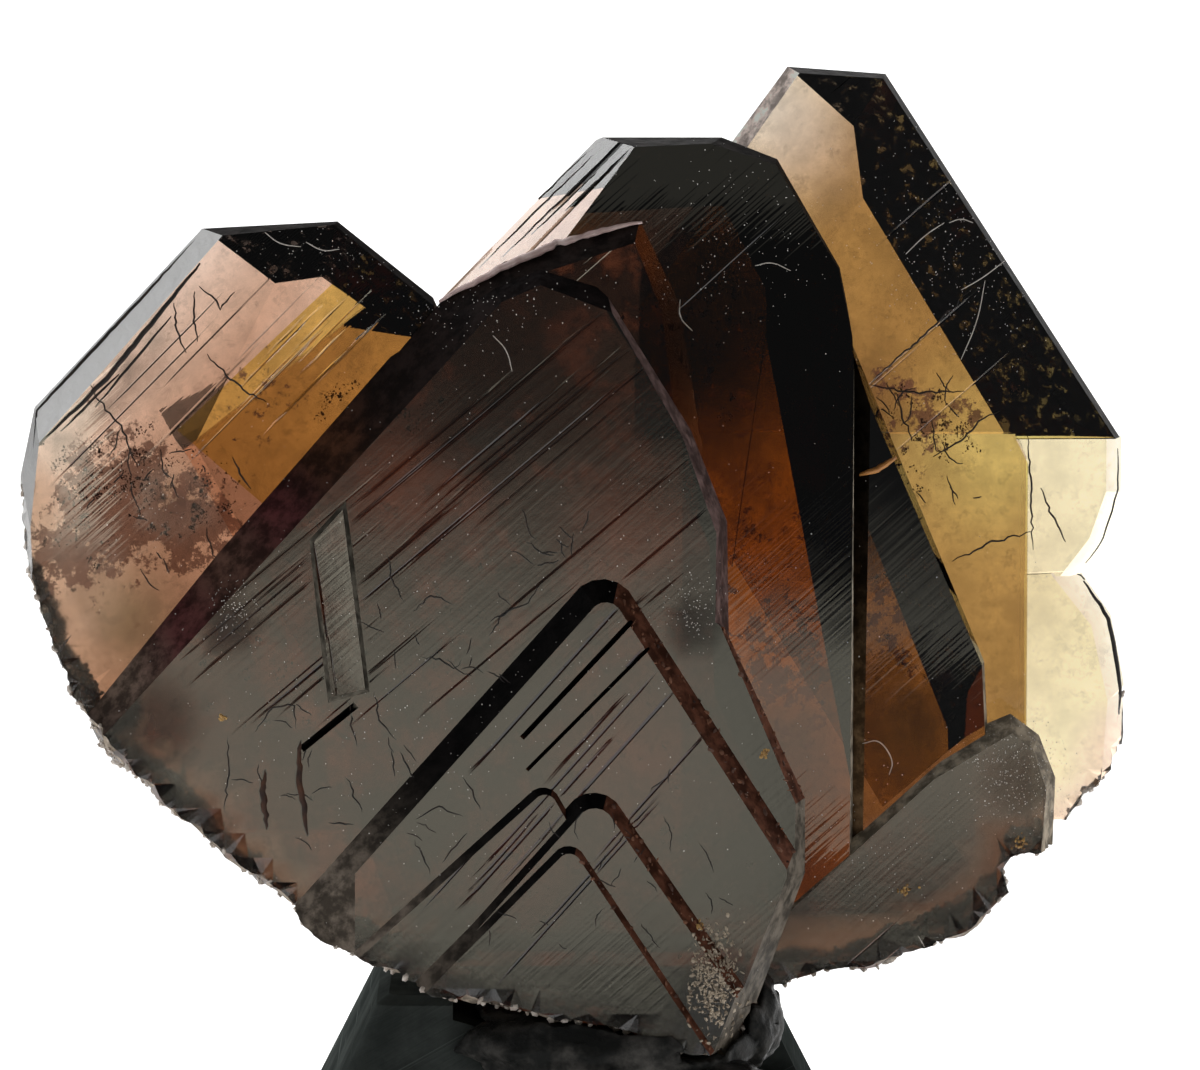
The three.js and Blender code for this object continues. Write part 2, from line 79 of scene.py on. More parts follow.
# Front faces of the crystals: a point in mm, and how far the face looks up and to the right in degrees.
FACES = {
    "front": ((0, -6.6, 25), 7, -2),
    "rib": ((-9.3, -6.27, 27.5), 7, 2),
    "left": ((-14, -3.4, 34), 6, 5),
    "veil": ((2, -3.7, 38), 4, 2),
    "middle": ((5, -2.2, 35), 3, 7),
    "side": ((14, -0.9, 28), 2, 10),
    "right": ((15, 2.9, 40), 1, 2),
    "upper plate": ((20, 3.5, 31), 0, 5),
    "lower plate": ((20, 3.4, 24), 0, 5),
    "foot": ((7.1, -3.4, 13.4), 8, 6),
}
TERRACE_LIFTS = (0.9, 1.2, 1.5, 1.8)
# Bevels at the crystals' edges: the two ends of the edge in mm, and how far the bevel leans to the front.
BEVELS = {
    "middle bevel": [((-5.2, -0.6, 40.4), (1.5, -0.6, 47.3), 46)],
    "left riser": [
        ((-19.9, -4.6, 23.9), (-5.6, -2.6, 40.1), 40),
        ((-12, -3.4, 32.4), (-5.4, -2.5, 40.2), 40),
    ],
    "front top": [
        ((-5.6, -3.9, 40.1), (-1, -3.9, 42), 40),
        ((-1, -3.9, 42), (1.6, -3.9, 41.2), 40),
    ],
    "veil edge": [
        ((3.1, -2.4, 43.9), (4.7, -2.2, 40.5), 30),
        ((4.7, -2.2, 40.5), (5.7, -2.2, 34.5), 30),
    ],
}
KINDS = [
    "plain", *FACES, "terrace", *BEVELS, "dark riser", "rusty riser", "soft flank", "front rim", "cleft",
    "rib edge", "veil top", "dark edge", "pale edge", "left bevel", "foot edge", "foot lobe", "back bevel",
    "plate rim", "broken",
]
# Edges that the light hardly enters: they get a dull opaque film, painted shade on the dark ones, painted
# light on the pale edge and the left bevel, rust on the rusty riser.
SHADE_LIGHT_AND_RUST_FILMED = {
    "left riser", "front top", "dark riser", "rusty riser", "soft flank", "front rim", "cleft", "rib edge",
    "veil top", "dark edge", "pale edge", "left bevel", "foot edge", "foot lobe",
}
# The upright rib on the front blade: left, right, low and high edge in mm.
RIB_ROOM = (-10.8, -7.6, 23.9, 33)
# A small step on the front blade, with the same edges.
STEP_ROOM = (-12, -8, 21, 24)
# The pale plates at the right: left, low and high edge in mm.
PLATE_ROOM = (19, 20, 34.6)
# What tells the other edges apart, in mm: the top of the terraces and how far behind the front face their
# roots lie, the top of the foot, and the front, the back and the low end of the veil's crest.
TERRACE_TOP = 29.5
TERRACE_ROOT = -0.6
FOOT_TOP = 24
VEIL_FRONT = -3.4
VEIL_BACK = -1.7
VEIL_LOW = 41

# The run of the broken underside, as (across, up) in mm.
BREAK_LINE = [
    (-24.5, 33.6), (-22.5, 33.2), (-22.3, 30.7), (-21.7, 28.2), (-20.9, 26), (-19.6, 23.7), (-18.8, 22.2),
    (-17.3, 21), (-15, 19.4), (-14.3, 18.2), (-12.9, 17.3), (-11.5, 15.9), (-10.5, 14.9), (-7.8, 13.8),
    (-4.2, 12.6), (-0.2, 11.7), (4, 10.8), (7.1, 9.9), (7.3, 12.2), (9.4, 12.4), (11.9, 12.8), (14.8, 13.5),
    (16.5, 14.2), (18.5, 15.7), (18.3, 17.2), (20.6, 17.6), (21.9, 18.6), (22.9, 19.9), (23.1, 21.4),
    (25.5, 21.7),
]
# How far the break reaches into the faces and how uneven it is, and the squares that the faces are cut into.
BROKEN_REACH = 1.3
BROKEN_GRAIN = 0.16
GRID_STEP = 1.0

# Growth lines: the face, their slant, the stretch across and along them in mm, how many, depth, half width.
GROWTH_LINES = [
    ("front", 40, (27, 30.6), (3, 28), 14, 0.012, 0.06),
    ("front", 40, (23.5, 26.5), (4, 14), 8, 0.01, 0.05),
    ("front", 40, (14, 34), (4, 26), 14, 0.008, 0.05),
    ("rib", 98, (5.6, 7.4), (24, 34), 6, 0.05, 0.05),
    ("terrace", 48, (10, 19), (8, 24), 14, 0.03, 0.06),
    ("left", 45, (33.4, 36.6), (14.5, 23), 9, 0.07, 0.06),
    ("left", 45, (28, 42), (8, 24), 10, 0.02, 0.06),
    ("middle", 42, (20, 32), (22, 36), 4, 0.012, 0.05),
    ("middle bevel", 45.8, (30, 35), (20, 40), 12, 0.06, 0.07),
    ("right", 41, (16, 27), (30, 44), 4, 0.02, 0.05),
    ("foot", 40, (2, 14), (14, 28), 8, 0.03, 0.06),
]

# Crack lines on the faces, as (across, up) in the picture plane in mm.
CRACKS = [
    [(-7.4, 29.4), (-7.2, 28.4), (-7, 28), (-6.7, 27.5)],
    [(-6.4, 27.1), (-5.6, 27.7), (-5, 27.6), (-4.6, 27.3)],
    [(-6, 25.2), (-5.2, 25.1), (-4.6, 24.7), (-4.3, 25.1)],
    [(-3.2, 25.9), (-2.6, 27), (-1.5, 27.5), (-1, 28.4)],
    [(-13, 22), (-12.2, 23.1), (-11.3, 23.2), (-11.2, 22.2)],
    [(-14.1, 21.9), (-14, 20.5), (-14.2, 18.8)],
    [(-9.1, 20.2), (-8.8, 19.4), (-8.4, 18.7)],
    [(-9.8, 18.3), (-8.8, 18.2)],
    [(-6.9, 21.3), (-6.3, 20.2)],
    [(-7.2, 21.3), (-7.1, 20.2)],
    [(-4.2, 20.2), (-3.5, 18.8)],
    [(-6.3, 18.4), (-5.3, 19), (-4.2, 18.5)],
    [(-6.3, 17.6), (-5.6, 16.2)],
    [(-5.1, 16.6), (-4.1, 17.9)],
    [(-1.6, 30), (-0.9, 29.5), (-0.3, 29.6)],
    [(-1.2, 29), (-0.3, 29.2)],
    [(-8, 23.8), (-7.7, 22.6), (-7, 21.7)],
    [(-9, 23.4), (-8.9, 22.4), (-8.7, 21.5)],
    [(-16.3, 40), (-16.2, 39), (-15.8, 37.9)],
    [(-15.4, 40.5), (-15.5, 39.2), (-15.3, 38.4)],
    [(-15.2, 40.6), (-14.5, 40.1), (-14.4, 39.7), (-13.8, 40.4)],
    [(-14.9, 37.8), (-14.1, 37), (-13.2, 36.2), (-12.4, 35.8)],
    [(-19.9, 36.7), (-19.4, 35.9), (-18.5, 34.8), (-17.8, 33.1)],
    [(-13.8, 33.5), (-13.5, 32.9), (-13.1, 32.2)],
    [(12.8, 36.5), (14.8, 36.2), (16.6, 36.3)],
    [(13.8, 36.2), (14, 35.4), (14.5, 34.2)],
    [(15.3, 33.5), (16.5, 34.2), (17.4, 35.2), (18.1, 35.5)],
    [(19.3, 34.4), (19.4, 32.2), (19.5, 29.7)],
    [(16.2, 29.2), (17.8, 30), (19.4, 30.4)],
    [(19.8, 32.3), (20.3, 31.1), (20.9, 30)],
    [(21.3, 28.7), (21.9, 28.3)],
    [(12.7, 36.6), (15.5, 39.1), (16.9, 40.5)],
]
# Fields of short hair cracks: middle, half size, how many.
CRACK_FIELDS = [
    ((-5, 26), (3, 2), 12),
    ((-9, 20), (4, 3), 13),
    ((0, 15.5), (6, 2.5), 14),
    ((-0.5, 29.5), (1.5, 1), 8),
    ((-17, 31), (3, 3), 16),
    ((15, 34), (2, 2.5), 14),
    ((4.5, 17), (4, 4), 12),
]
# Ways the hair cracks run, in degrees.
CRACK_TURNS = (40, 98, 130, 165)

# Clouds of dark moss inside the crystals: middle, half size, how many clumps, share of the depth they lie in.
MOSS_CLOUDS = [
    ((-18.4, 32.6), (2.7, 1.9), 60, (0.05, 0.5)),
    ((-15.4, 31.4), (1.7, 1.9), 30, (0.05, 0.5)),
    ((-20.2, 30.4), (1.4, 2.2), 18, (0.05, 0.5)),
    ((5.8, 39.4), (2.6, 3.2), 60, (0.03, 0.3)),
    ((15.2, 34.6), (2.5, 1.7), 34, (0.1, 0.7)),
    ((13.5, 30.5), (1.1, 4), 20, (0.1, 0.6)),
    ((-5, 26), (3.5, 2.5), 24, (0.02, 0.1)),
    ((-11, 24.5), (4, 5), 24, (0.02, 0.1)),
    ((2, 17), (7, 5), 26, (0.02, 0.1)),
    ((-8, 35.5), (2.4, 1.4), 20, (0.02, 0.1)),
]

# Pale dust on the faces, whose grains also stand in as painted glints: middle, half size, how many grains.
DUST_AND_GLINT_FIELDS = [
    ((0, 27), (20, 15), 460),
    ((17, 42.5), (4.5, 5), 520),
    ((-9.5, 42), (3.5, 1.3), 90),
    ((7, 43), (4, 3.5), 170),
    ((-6, 23), (9, 7), 260),
    ((-13.8, 27.2), (1, 1.2), 130),
    ((5.3, 27.3), (1.2, 1.3), 130),
    ((-17, 31.8), (3, 2), 70),
    ((-4, 39.6), (4, 1.8), 170),
    ((18.7, 20.4), (2, 2.2), 420),
    ((13, 16.8), (4, 3), 120),
]
# Lint fibres on the faces, as (across, up) in the picture plane in mm.
LINT = [
    [(-12.5, 42.9), (-11.9, 42.4), (-11, 42.3)],
    [(-10.8, 42.5), (-10.1, 42.1), (-9.4, 42.2)],
    [(4.8, 40.1), (4.7, 39.4), (5.3, 38.8)],
    [(7.9, 41.5), (8.6, 41.7), (9.4, 41.3)],
    [(16, 43.3), (16.5, 43.5), (17, 43.3)],
    [(14.2, 42), (15, 42.8), (15.8, 43.3)],
    [(16.5, 40.5), (17.4, 41), (18.3, 41.7)],
    [(17.5, 40.9), (17.2, 39.2), (16.5, 37.6)],
    [(12.4, 21.6), (13.1, 21.8), (13.7, 20.9), (13.5, 20.3)],
    [(-3, 38.6), (-2.4, 38), (-2.2, 37.1)],
    [(14.7, 13.6), (15, 13.1)],
]
# Slots with rust in them, and lumps of ochre as (place, reach), each of so many grains.
RUST_SLOTS = [
    [(-12.5, 20.5), (-12.6, 19.6), (-12.4, 18)],
    [(-11, 21.8), (-11.1, 20.2), (-10.7, 17.7)],
]
OCHRE_LUMPS = [
    ((-14.3, 22.7), 0.14),
    ((14.2, 15.5), 0.3),
    ((18.9, 17.5), 0.3),
    ((8.3, 21.2), 0.16),
    ((5.6, 14), 0.2),
]
OCHRE_GRAINS = 22
# The veil's bright top edge as a pale strand of painted highlight, and an amber splinter beside the middle
# blade.
VEIL_HIGHLIGHT_RIDGE = [(-5.2, 40), (-2.7, 41.3), (-0.3, 42.4), (1.6, 42.9), (3.1, 43.3)]
AMBER_SPLINTER = [(12.3, 32.8), (13, 33), (13.8, 33.5)]
# Crumbs on the front blade's lower right corner: middle, half size, how many.
CRUMBLY_CORNER = ((6.2, 11.8), (1, 2), 520)
# Dark strands of painted shade along the upper left bevels of the left and the middle blade, and along the
# plates' right edges.
EDGE_SHADE_LINES = [
    [(-21, 34.6), (-18.6, 37)],
    [(-19.6, 35.6), (-16.4, 39.4)],
    [(-4.6, 40.9), (-1.4, 44), (1.5, 46.8)],
    [(-3.6, 41.4), (-0.4, 44.6), (1.6, 46.5)],
    [(-2.6, 41.9), (0.2, 44.6), (1.6, 46)],
    [(-1.4, 42.8), (1.5, 45.6)],
    [(0, 43.8), (1.5, 45.2)],
    [(23.05, 33.9), (23.05, 32.2), (22.8, 31.3), (22.45, 30.2), (22.15, 29.7), (21.7, 29.1)],
]
# Wider strands of painted shade along the left blade's upper left edge and the plates' right edges.
EDGE_SHADE_BANDS = [
    [(-22.25, 33.2), (-22.02, 35.48), (-18.55, 39.2), (-15.12, 42.92)],
    [(-22, 34), (-19.1, 36.8), (-15.2, 41.6)],
    [(21.6, 28.4), (22.3, 27.4), (22.65, 26.8), (22.85, 25.8), (23.05, 24.8), (23.15, 23.9), (23.1, 22.8)],
]


def aim_camera():
    data = bpy.data.cameras.new("camera")
    camera = link(bpy.data.objects.new("camera", data))
    data.sensor_width = SENSOR_WIDTH
    data.sensor_fit = "HORIZONTAL"
    data.lens = SENSOR_WIDTH * CAMERA_DISTANCE / FRAME_WIDTH
    data.clip_start = 0.01
    camera.location = picture_point(*FRAME_CENTRE) - AHEAD * CAMERA_DISTANCE
    camera.rotation_euler = (math.pi / 2 - ELEVATION, 0, 0)
    bpy.context.scene.camera = camera
    return camera.location.copy()


def picture_point(across, up):
    """A point of the picture plane, which stands square to the view through the crystals."""
    return Vector((across, 0, 0)) + ABOVE * up + AHEAD * CRYSTAL_DEPTH


def link(obj):
    bpy.context.scene.collection.objects.link(obj)
    return obj


def shader(name):
    material = bpy.data.materials.new(name)
    material.use_nodes = True
    tree = material.node_tree
    return material, tree, tree.nodes["Principled BSDF"]


def feed(tree, socket, value):
    """Links a socket to a node's output, or sets it to a plain value."""
    if isinstance(value, bpy.types.NodeSocket):
        tree.links.new(value, socket)
    else:
        socket.default_value = value


def object_place(tree):
    return tree.nodes.new("ShaderNodeTexCoord").outputs["Object"]


def along_y(tree, vector):
    node = tree.nodes.new("ShaderNodeSeparateXYZ")
    feed(tree, node.inputs[0], vector)
    return node.outputs["Y"]


def attribute(tree, name, output="Fac"):
    node = tree.nodes.new("ShaderNodeAttribute")
    node.attribute_name = name
    return node.outputs[output]


def clouds(tree, place, scale, detail=4, roughness=0.55):
    node = tree.nodes.new("ShaderNodeTexNoise")
    feed(tree, node.inputs["Vector"], place)
    node.inputs["Scale"].default_value = scale
    node.inputs["Detail"].default_value = detail
    node.inputs["Roughness"].default_value = roughness
    return node.outputs[0]


def streaks(tree, place, slant, long, fine, detail):
    """Noise drawn out along a slant in the front plane, with the length and width of its streaks in mm."""
    node = tree.nodes.new("ShaderNodeMapping")
    node.vector_type = "TEXTURE"
    feed(tree, node.inputs["Vector"], place)
    node.inputs["Rotation"].default_value = (0, -math.radians(slant), 0)
    node.inputs["Scale"].default_value = (long * MM, long * MM, fine * MM)
    return clouds(tree, node.outputs[0], 1, detail)


def graded(tree, value, low, high, start, end):
    """A value carried smoothly from one range to another."""
    node = tree.nodes.new("ShaderNodeMapRange")
    node.interpolation_type = "SMOOTHSTEP"
    ranges = (("Value", value), ("From Min", low), ("From Max", high), ("To Min", start), ("To Max", end))
    for label, number in ranges:
        feed(tree, node.inputs[label], number)
    return node.outputs[0]


def worked(tree, operation, *values):
    """A sum, product or the like of numbers."""
    node = tree.nodes.new("ShaderNodeMath")
    node.operation = operation
    for socket, value in zip(node.inputs, values):
        feed(tree, socket, value)
    return node.outputs[0]


def mixed(tree, share, first, second):
    """One colour laid over another."""
    node = tree.nodes.new("ShaderNodeMix")
    node.data_type = "RGBA"
    for label, value in (("Factor", share), ("A", first), ("B", second)):
        sockets = [s for s in node.inputs if s.name == label and s.enabled]
        feed(tree, sockets[0], (*value, 1) if isinstance(value, tuple) else value)
    return next(s for s in node.outputs if s.enabled)


def scaled(tree, colour, share):
    node = tree.nodes.new("ShaderNodeVectorMath")
    node.operation = "SCALE"
    feed(tree, node.inputs[0], colour)
    feed(tree, node.inputs["Scale"], share)
    return node.outputs[0]


def raised(tree, surface, height, distance):
    bump = tree.nodes.new("ShaderNodeBump")
    bump.inputs["Distance"].default_value = distance * MM
    feed(tree, bump.inputs["Height"], height)
    feed(tree, surface.inputs["Normal"], bump.outputs[0])


def card_light(name, left, right, low, high, fade, brightness):
    """A white card that glows evenly and fades out towards its top edge."""
    data = bpy.data.lights.new(name, "AREA")
    data.shape = "RECTANGLE"
    data.size = (right - left) * MM
    data.size_y = (high - low) * MM
    data.energy = brightness * math.pi * data.size * data.size_y
    data.color = CARD_COLOUR
    data.use_nodes = True
    tree = data.node_tree
    height = along_y(tree, tree.nodes.new("ShaderNodeNewGeometry").outputs["Parametric"])
    feed(tree, tree.nodes["Emission"].inputs["Strength"], graded(tree, height, 1, 1 - fade, 0, 1))
    lamp = link(bpy.data.objects.new(name, data))
    lamp.location = ((left + right) / 2 * MM, CARD_DEPTH * MM, (low + high) / 2 * MM)
    lamp.rotation_euler = (math.pi / 2, 0, 0)
    lamp.visible_camera = False


def key_light():
    data = bpy.data.lights.new("key lamp", "AREA")
    data.size = KEY_SIZE
    data.energy = KEY_GLOW * math.pi * KEY_SIZE ** 2
    lamp = link(bpy.data.objects.new("key lamp", data))
    lamp.location = KEY_PLACE
    aim = picture_point(*FRAME_CENTRE) - lamp.location
    lamp.rotation_euler = aim.to_track_quat("-Z", "Y").to_euler()
    lamp.visible_camera = False


def light_studio():
    world = bpy.data.worlds.new("studio")
    bpy.context.scene.world = world
    world.use_nodes = True
    tree = world.node_tree
    tree.nodes.clear()
    depth = along_y(tree, tree.nodes.new("ShaderNodeTexCoord").outputs["Generated"])
    glow = tree.nodes.new("ShaderNodeBackground")
    feed(tree, glow.inputs["Strength"], graded(tree, depth, *GLOW_TURN, FRONT_GLOW, BACK_GLOW))
    out = tree.nodes.new("ShaderNodeOutputWorld")
    tree.links.new(glow.outputs[0], out.inputs["Surface"])
    for name, edges in FRONT_CARDS.items():
        card_light(name, *edges)
    key_light()
    bpy.context.scene.view_settings.view_transform = "Standard"


def lay_floor():
    bm = bmesh.new()
    bmesh.ops.create_circle(bm, cap_ends=True, segments=96, radius=1.5)
    mesh = bpy.data.meshes.new("floor")
    bm.to_mesh(mesh)
    bm.free()
    floor = link(bpy.data.objects.new("floor", mesh))
    material, tree, surface = shader("floor paper")
    surface.inputs["Roughness"].default_value = 0.9
    surface.inputs["Emission Color"].default_value = (1, 1, 0.99, 1)
    # Painted shade and glow: the paper's colour darkens and its glow fades towards the camera.
    depth = along_y(tree, object_place(tree))
    for socket, dark, pale in (("Base Color", 0.08, 0.9), ("Emission Strength", 0, 0.6)):
        feed(tree, surface.inputs[socket], graded(tree, depth, FLOOR_DARK, FLOOR_PALE, dark, pale))
    # The paper's painted glow isn't worth sampling as a lamp.
    material.cycles.emission_sampling = "NONE"
    mesh.materials.append(material)


# Crystal


def front_plane(at, pitch, yaw, lift=0):
    normal = Vector((math.tan(math.radians(yaw)), -1, math.tan(math.radians(pitch)))).normalized()
    return Vector(at) + normal * lift, normal


def bevel_plane(start, end, lean):
    start = Vector(start)
    along = (Vector(end) - start).normalized()
    out = Vector((-along.z, 0, along.x)).normalized()
    tilt = math.radians(-lean)
    return start, out * math.cos(tilt) + out.cross(along) * math.sin(tilt)


def named_planes():
    planes = [(name, *front_plane(*face)) for name, face in FACES.items()]
    planes += [("terrace", *front_plane(*FACES["front"], lift)) for lift in TERRACE_LIFTS]
    planes += [(name, *bevel_plane(*bevel)) for name, bevels in BEVELS.items() for bevel in bevels]
    return planes


def break_distance(x, z):
    """How far a point lies from the broken underside, seen from the front."""
    best = math.inf
    for (ax, az), (bx, bz) in zip(BREAK_LINE, BREAK_LINE[1:]):
        dx, dz = bx - ax, bz - az
        share = ((x - ax) * dx + (z - az) * dz) / (dx * dx + dz * dz)
        share = min(max(share, 0), 1)
        best = min(best, math.hypot(x - ax - share * dx, z - az - share * dz))
    return best


def within(room, point):
    left, right, low, high = room
    return left < point.x < right and low < point.z < high


def edge_kind(middle, normal):
    """The kind of a face that lies on none of the named planes."""
    if within(RIB_ROOM, middle):
        return "rib edge"
    point, out = front_plane(*FACES["front"])
    in_front = (middle - point).dot(out)
    if middle.z < TERRACE_TOP and in_front > TERRACE_ROOT and normal.y < 0:
        if within(STEP_ROOM, middle):
            return "dark riser"
        if normal.x > 0.3 and normal.z < 0.05 and middle.x > 5:
            return "soft flank"
        steep = normal.dot(out) < 0.25
        if normal.x > 0.3 and not steep and middle.x > -6:
            return "rusty riser"
        if in_front > 0 or steep:
            return "dark riser"
    if normal.x > 0.6 and normal.y < 0 and -6 < middle.y < -3.6 and 1 < middle.x < 8:
        return "front rim"
    if normal.x < -0.4 and -0.9 < normal.y < -0.7 and middle.x > 9:
        return "cleft"
    if normal.y < 0 and middle.x > 8.5 and middle.y < 2 and middle.z < FOOT_TOP:
        return "foot lobe" if normal.x > 0.3 and middle.x > 15 else "foot edge"
    if normal.y < 0 and middle.z > VEIL_LOW and VEIL_FRONT < middle.y < VEIL_BACK and -5.6 < middle.x < 4.6:
        return "veil top"
    outward = max(normal.x, normal.z) > 0.35
    if normal.y < 0 and middle.z > PLATE_ROOM[2] and middle.y > VEIL_FRONT and outward:
        if normal.x > -0.3:
            return "dark edge"
        return "pale edge" if middle.x > 4 else "left bevel" if middle.x < -12 else "plain"
    if 0.6 < normal.y < 0.82 and middle.z > FOOT_TOP:
        return "back bevel"
    left, low, high = PLATE_ROOM
    if middle.x > left and low < middle.z < high:
        return "plate rim"
    return "plain"


def kind_of(face, planes):
    middle = face.calc_center_median()
    for name, point, out in planes:
        if face.normal.dot(out) > 0.9995 and abs((middle - point).dot(out)) < 0.03:
            return "veil top" if name == "middle bevel" and middle.y < VEIL_BACK else name
    if face.calc_area() < 1.6 and break_distance(middle.x, middle.z) < BROKEN_REACH:
        return "broken"
    return edge_kind(middle, face.normal)


def part_of(faces):
    """The faces with their edges and corners, as a cut takes them."""
    edges = {edge for face in faces for edge in face.edges}
    verts = {vert for face in faces for vert in face.verts}
    return [*verts, *edges, *faces]


def cut(bm, geom, point, normal):
    return bmesh.ops.bisect_plane(bm, geom=geom, dist=1e-4, plane_co=point, plane_no=normal)["geom"]


def of_kind(bm, kind, *names):
    wanted = {KINDS.index(name) for name in names}
    return [face for face in bm.faces if face[kind] in wanted]


def cut_grid(bm, kind):
    """Cuts the flat faces into squares, so that tints can vary over them."""
    geom = part_of(of_kind(bm, kind, *[name for name in KINDS if name != "broken"]))
    for i in range(-24, 25):
        geom = cut(bm, geom, (i * GRID_STEP, 0, 0), (1, 0, 0))
    for i in range(9, 51):
        geom = cut(bm, geom, (0, 0, i * GRID_STEP), (0, 0, 1))


def roughen_break(bm, kind):
    """Splits the faces of the broken underside and makes them uneven."""
    faces = bmesh.ops.triangulate(bm, faces=of_kind(bm, kind, "broken"))["faces"]
    edges = {edge for face in faces for edge in face.edges}
    bmesh.ops.subdivide_edges(bm, edges=list(edges), cuts=1, use_grid_fill=True)
    bm.normal_update()
    verts = {vert for face in of_kind(bm, kind, "broken") for vert in face.verts}
    for vert in verts:
        grain = noise.fractal(vert.co * 1.4, 0.8, 2.1, 3)
        vert.co += vert.normal * BROKEN_GRAIN * grain


def groove_lines(rng, across, along, count, depth, half):
    grooves = []
    for _ in range(count):
        start = rng.uniform(along[0], along[0] + 0.6 * (along[1] - along[0]))
        end = min(along[1], start + rng.uniform(0.25, 0.8) * (along[1] - along[0]))
        at = rng.uniform(*across)
        grooves.append((at, start, end, depth * rng.uniform(0.4, 1), half * rng.uniform(0.7, 1.4)))
    return grooves


def cut_growth_lines(bm, kind, planes, groove):
    """Fine straight furrows on the faces, as real cuts with a sharp bottom."""
    rng = random.Random(5)
    for name, slant, across, along, count, depth, half in GROWTH_LINES:
        turn = math.radians(slant)
        normal = next(out for label, point, out in planes if label == name)
        side = Vector((-math.sin(turn), 0, math.cos(turn)))
        geom = part_of(of_kind(bm, kind, name))
        if not geom:
            continue
        for at, start, end, deep, wide in groove_lines(rng, across, along, count, depth, half):
            for shift in (-wide, 0, wide):
                geom = cut(bm, geom, side * (at + shift), side)
            for vert in geom:
                if not isinstance(vert, bmesh.types.BMVert):
                    continue
                off = abs(vert.co.dot(side) - at)
                run = vert.co.x * math.cos(turn) + vert.co.z * math.sin(turn)
                if off < wide * 0.5 and start < run < end:
                    if all(face[kind] == KINDS.index(name) for face in vert.link_faces):
                        fade = min(1, (run - start) / 1.5, (end - run) / 1.5)
                        vert.co -= normal * deep * fade
                        vert[groove] = max(vert[groove], fade)


def blend(a, b, share):
    share = min(max(share, 0), 1)
    return tuple(p + (q - p) * share for p, q in zip(a, b))


def near(x, z, at, radius):
    return math.exp(-((x - at[0]) ** 2 + (z - at[1]) ** 2) / radius ** 2)


# Tints of the faces: each crystal's own, and the patches that lie over it as (tint, middle, radius).
SMOKE = (0.002, 0.0025, 0.0035)
COFFEE = (0.011, 0.012, 0.013)
RUST = (0.1, 0.028, 0.01)
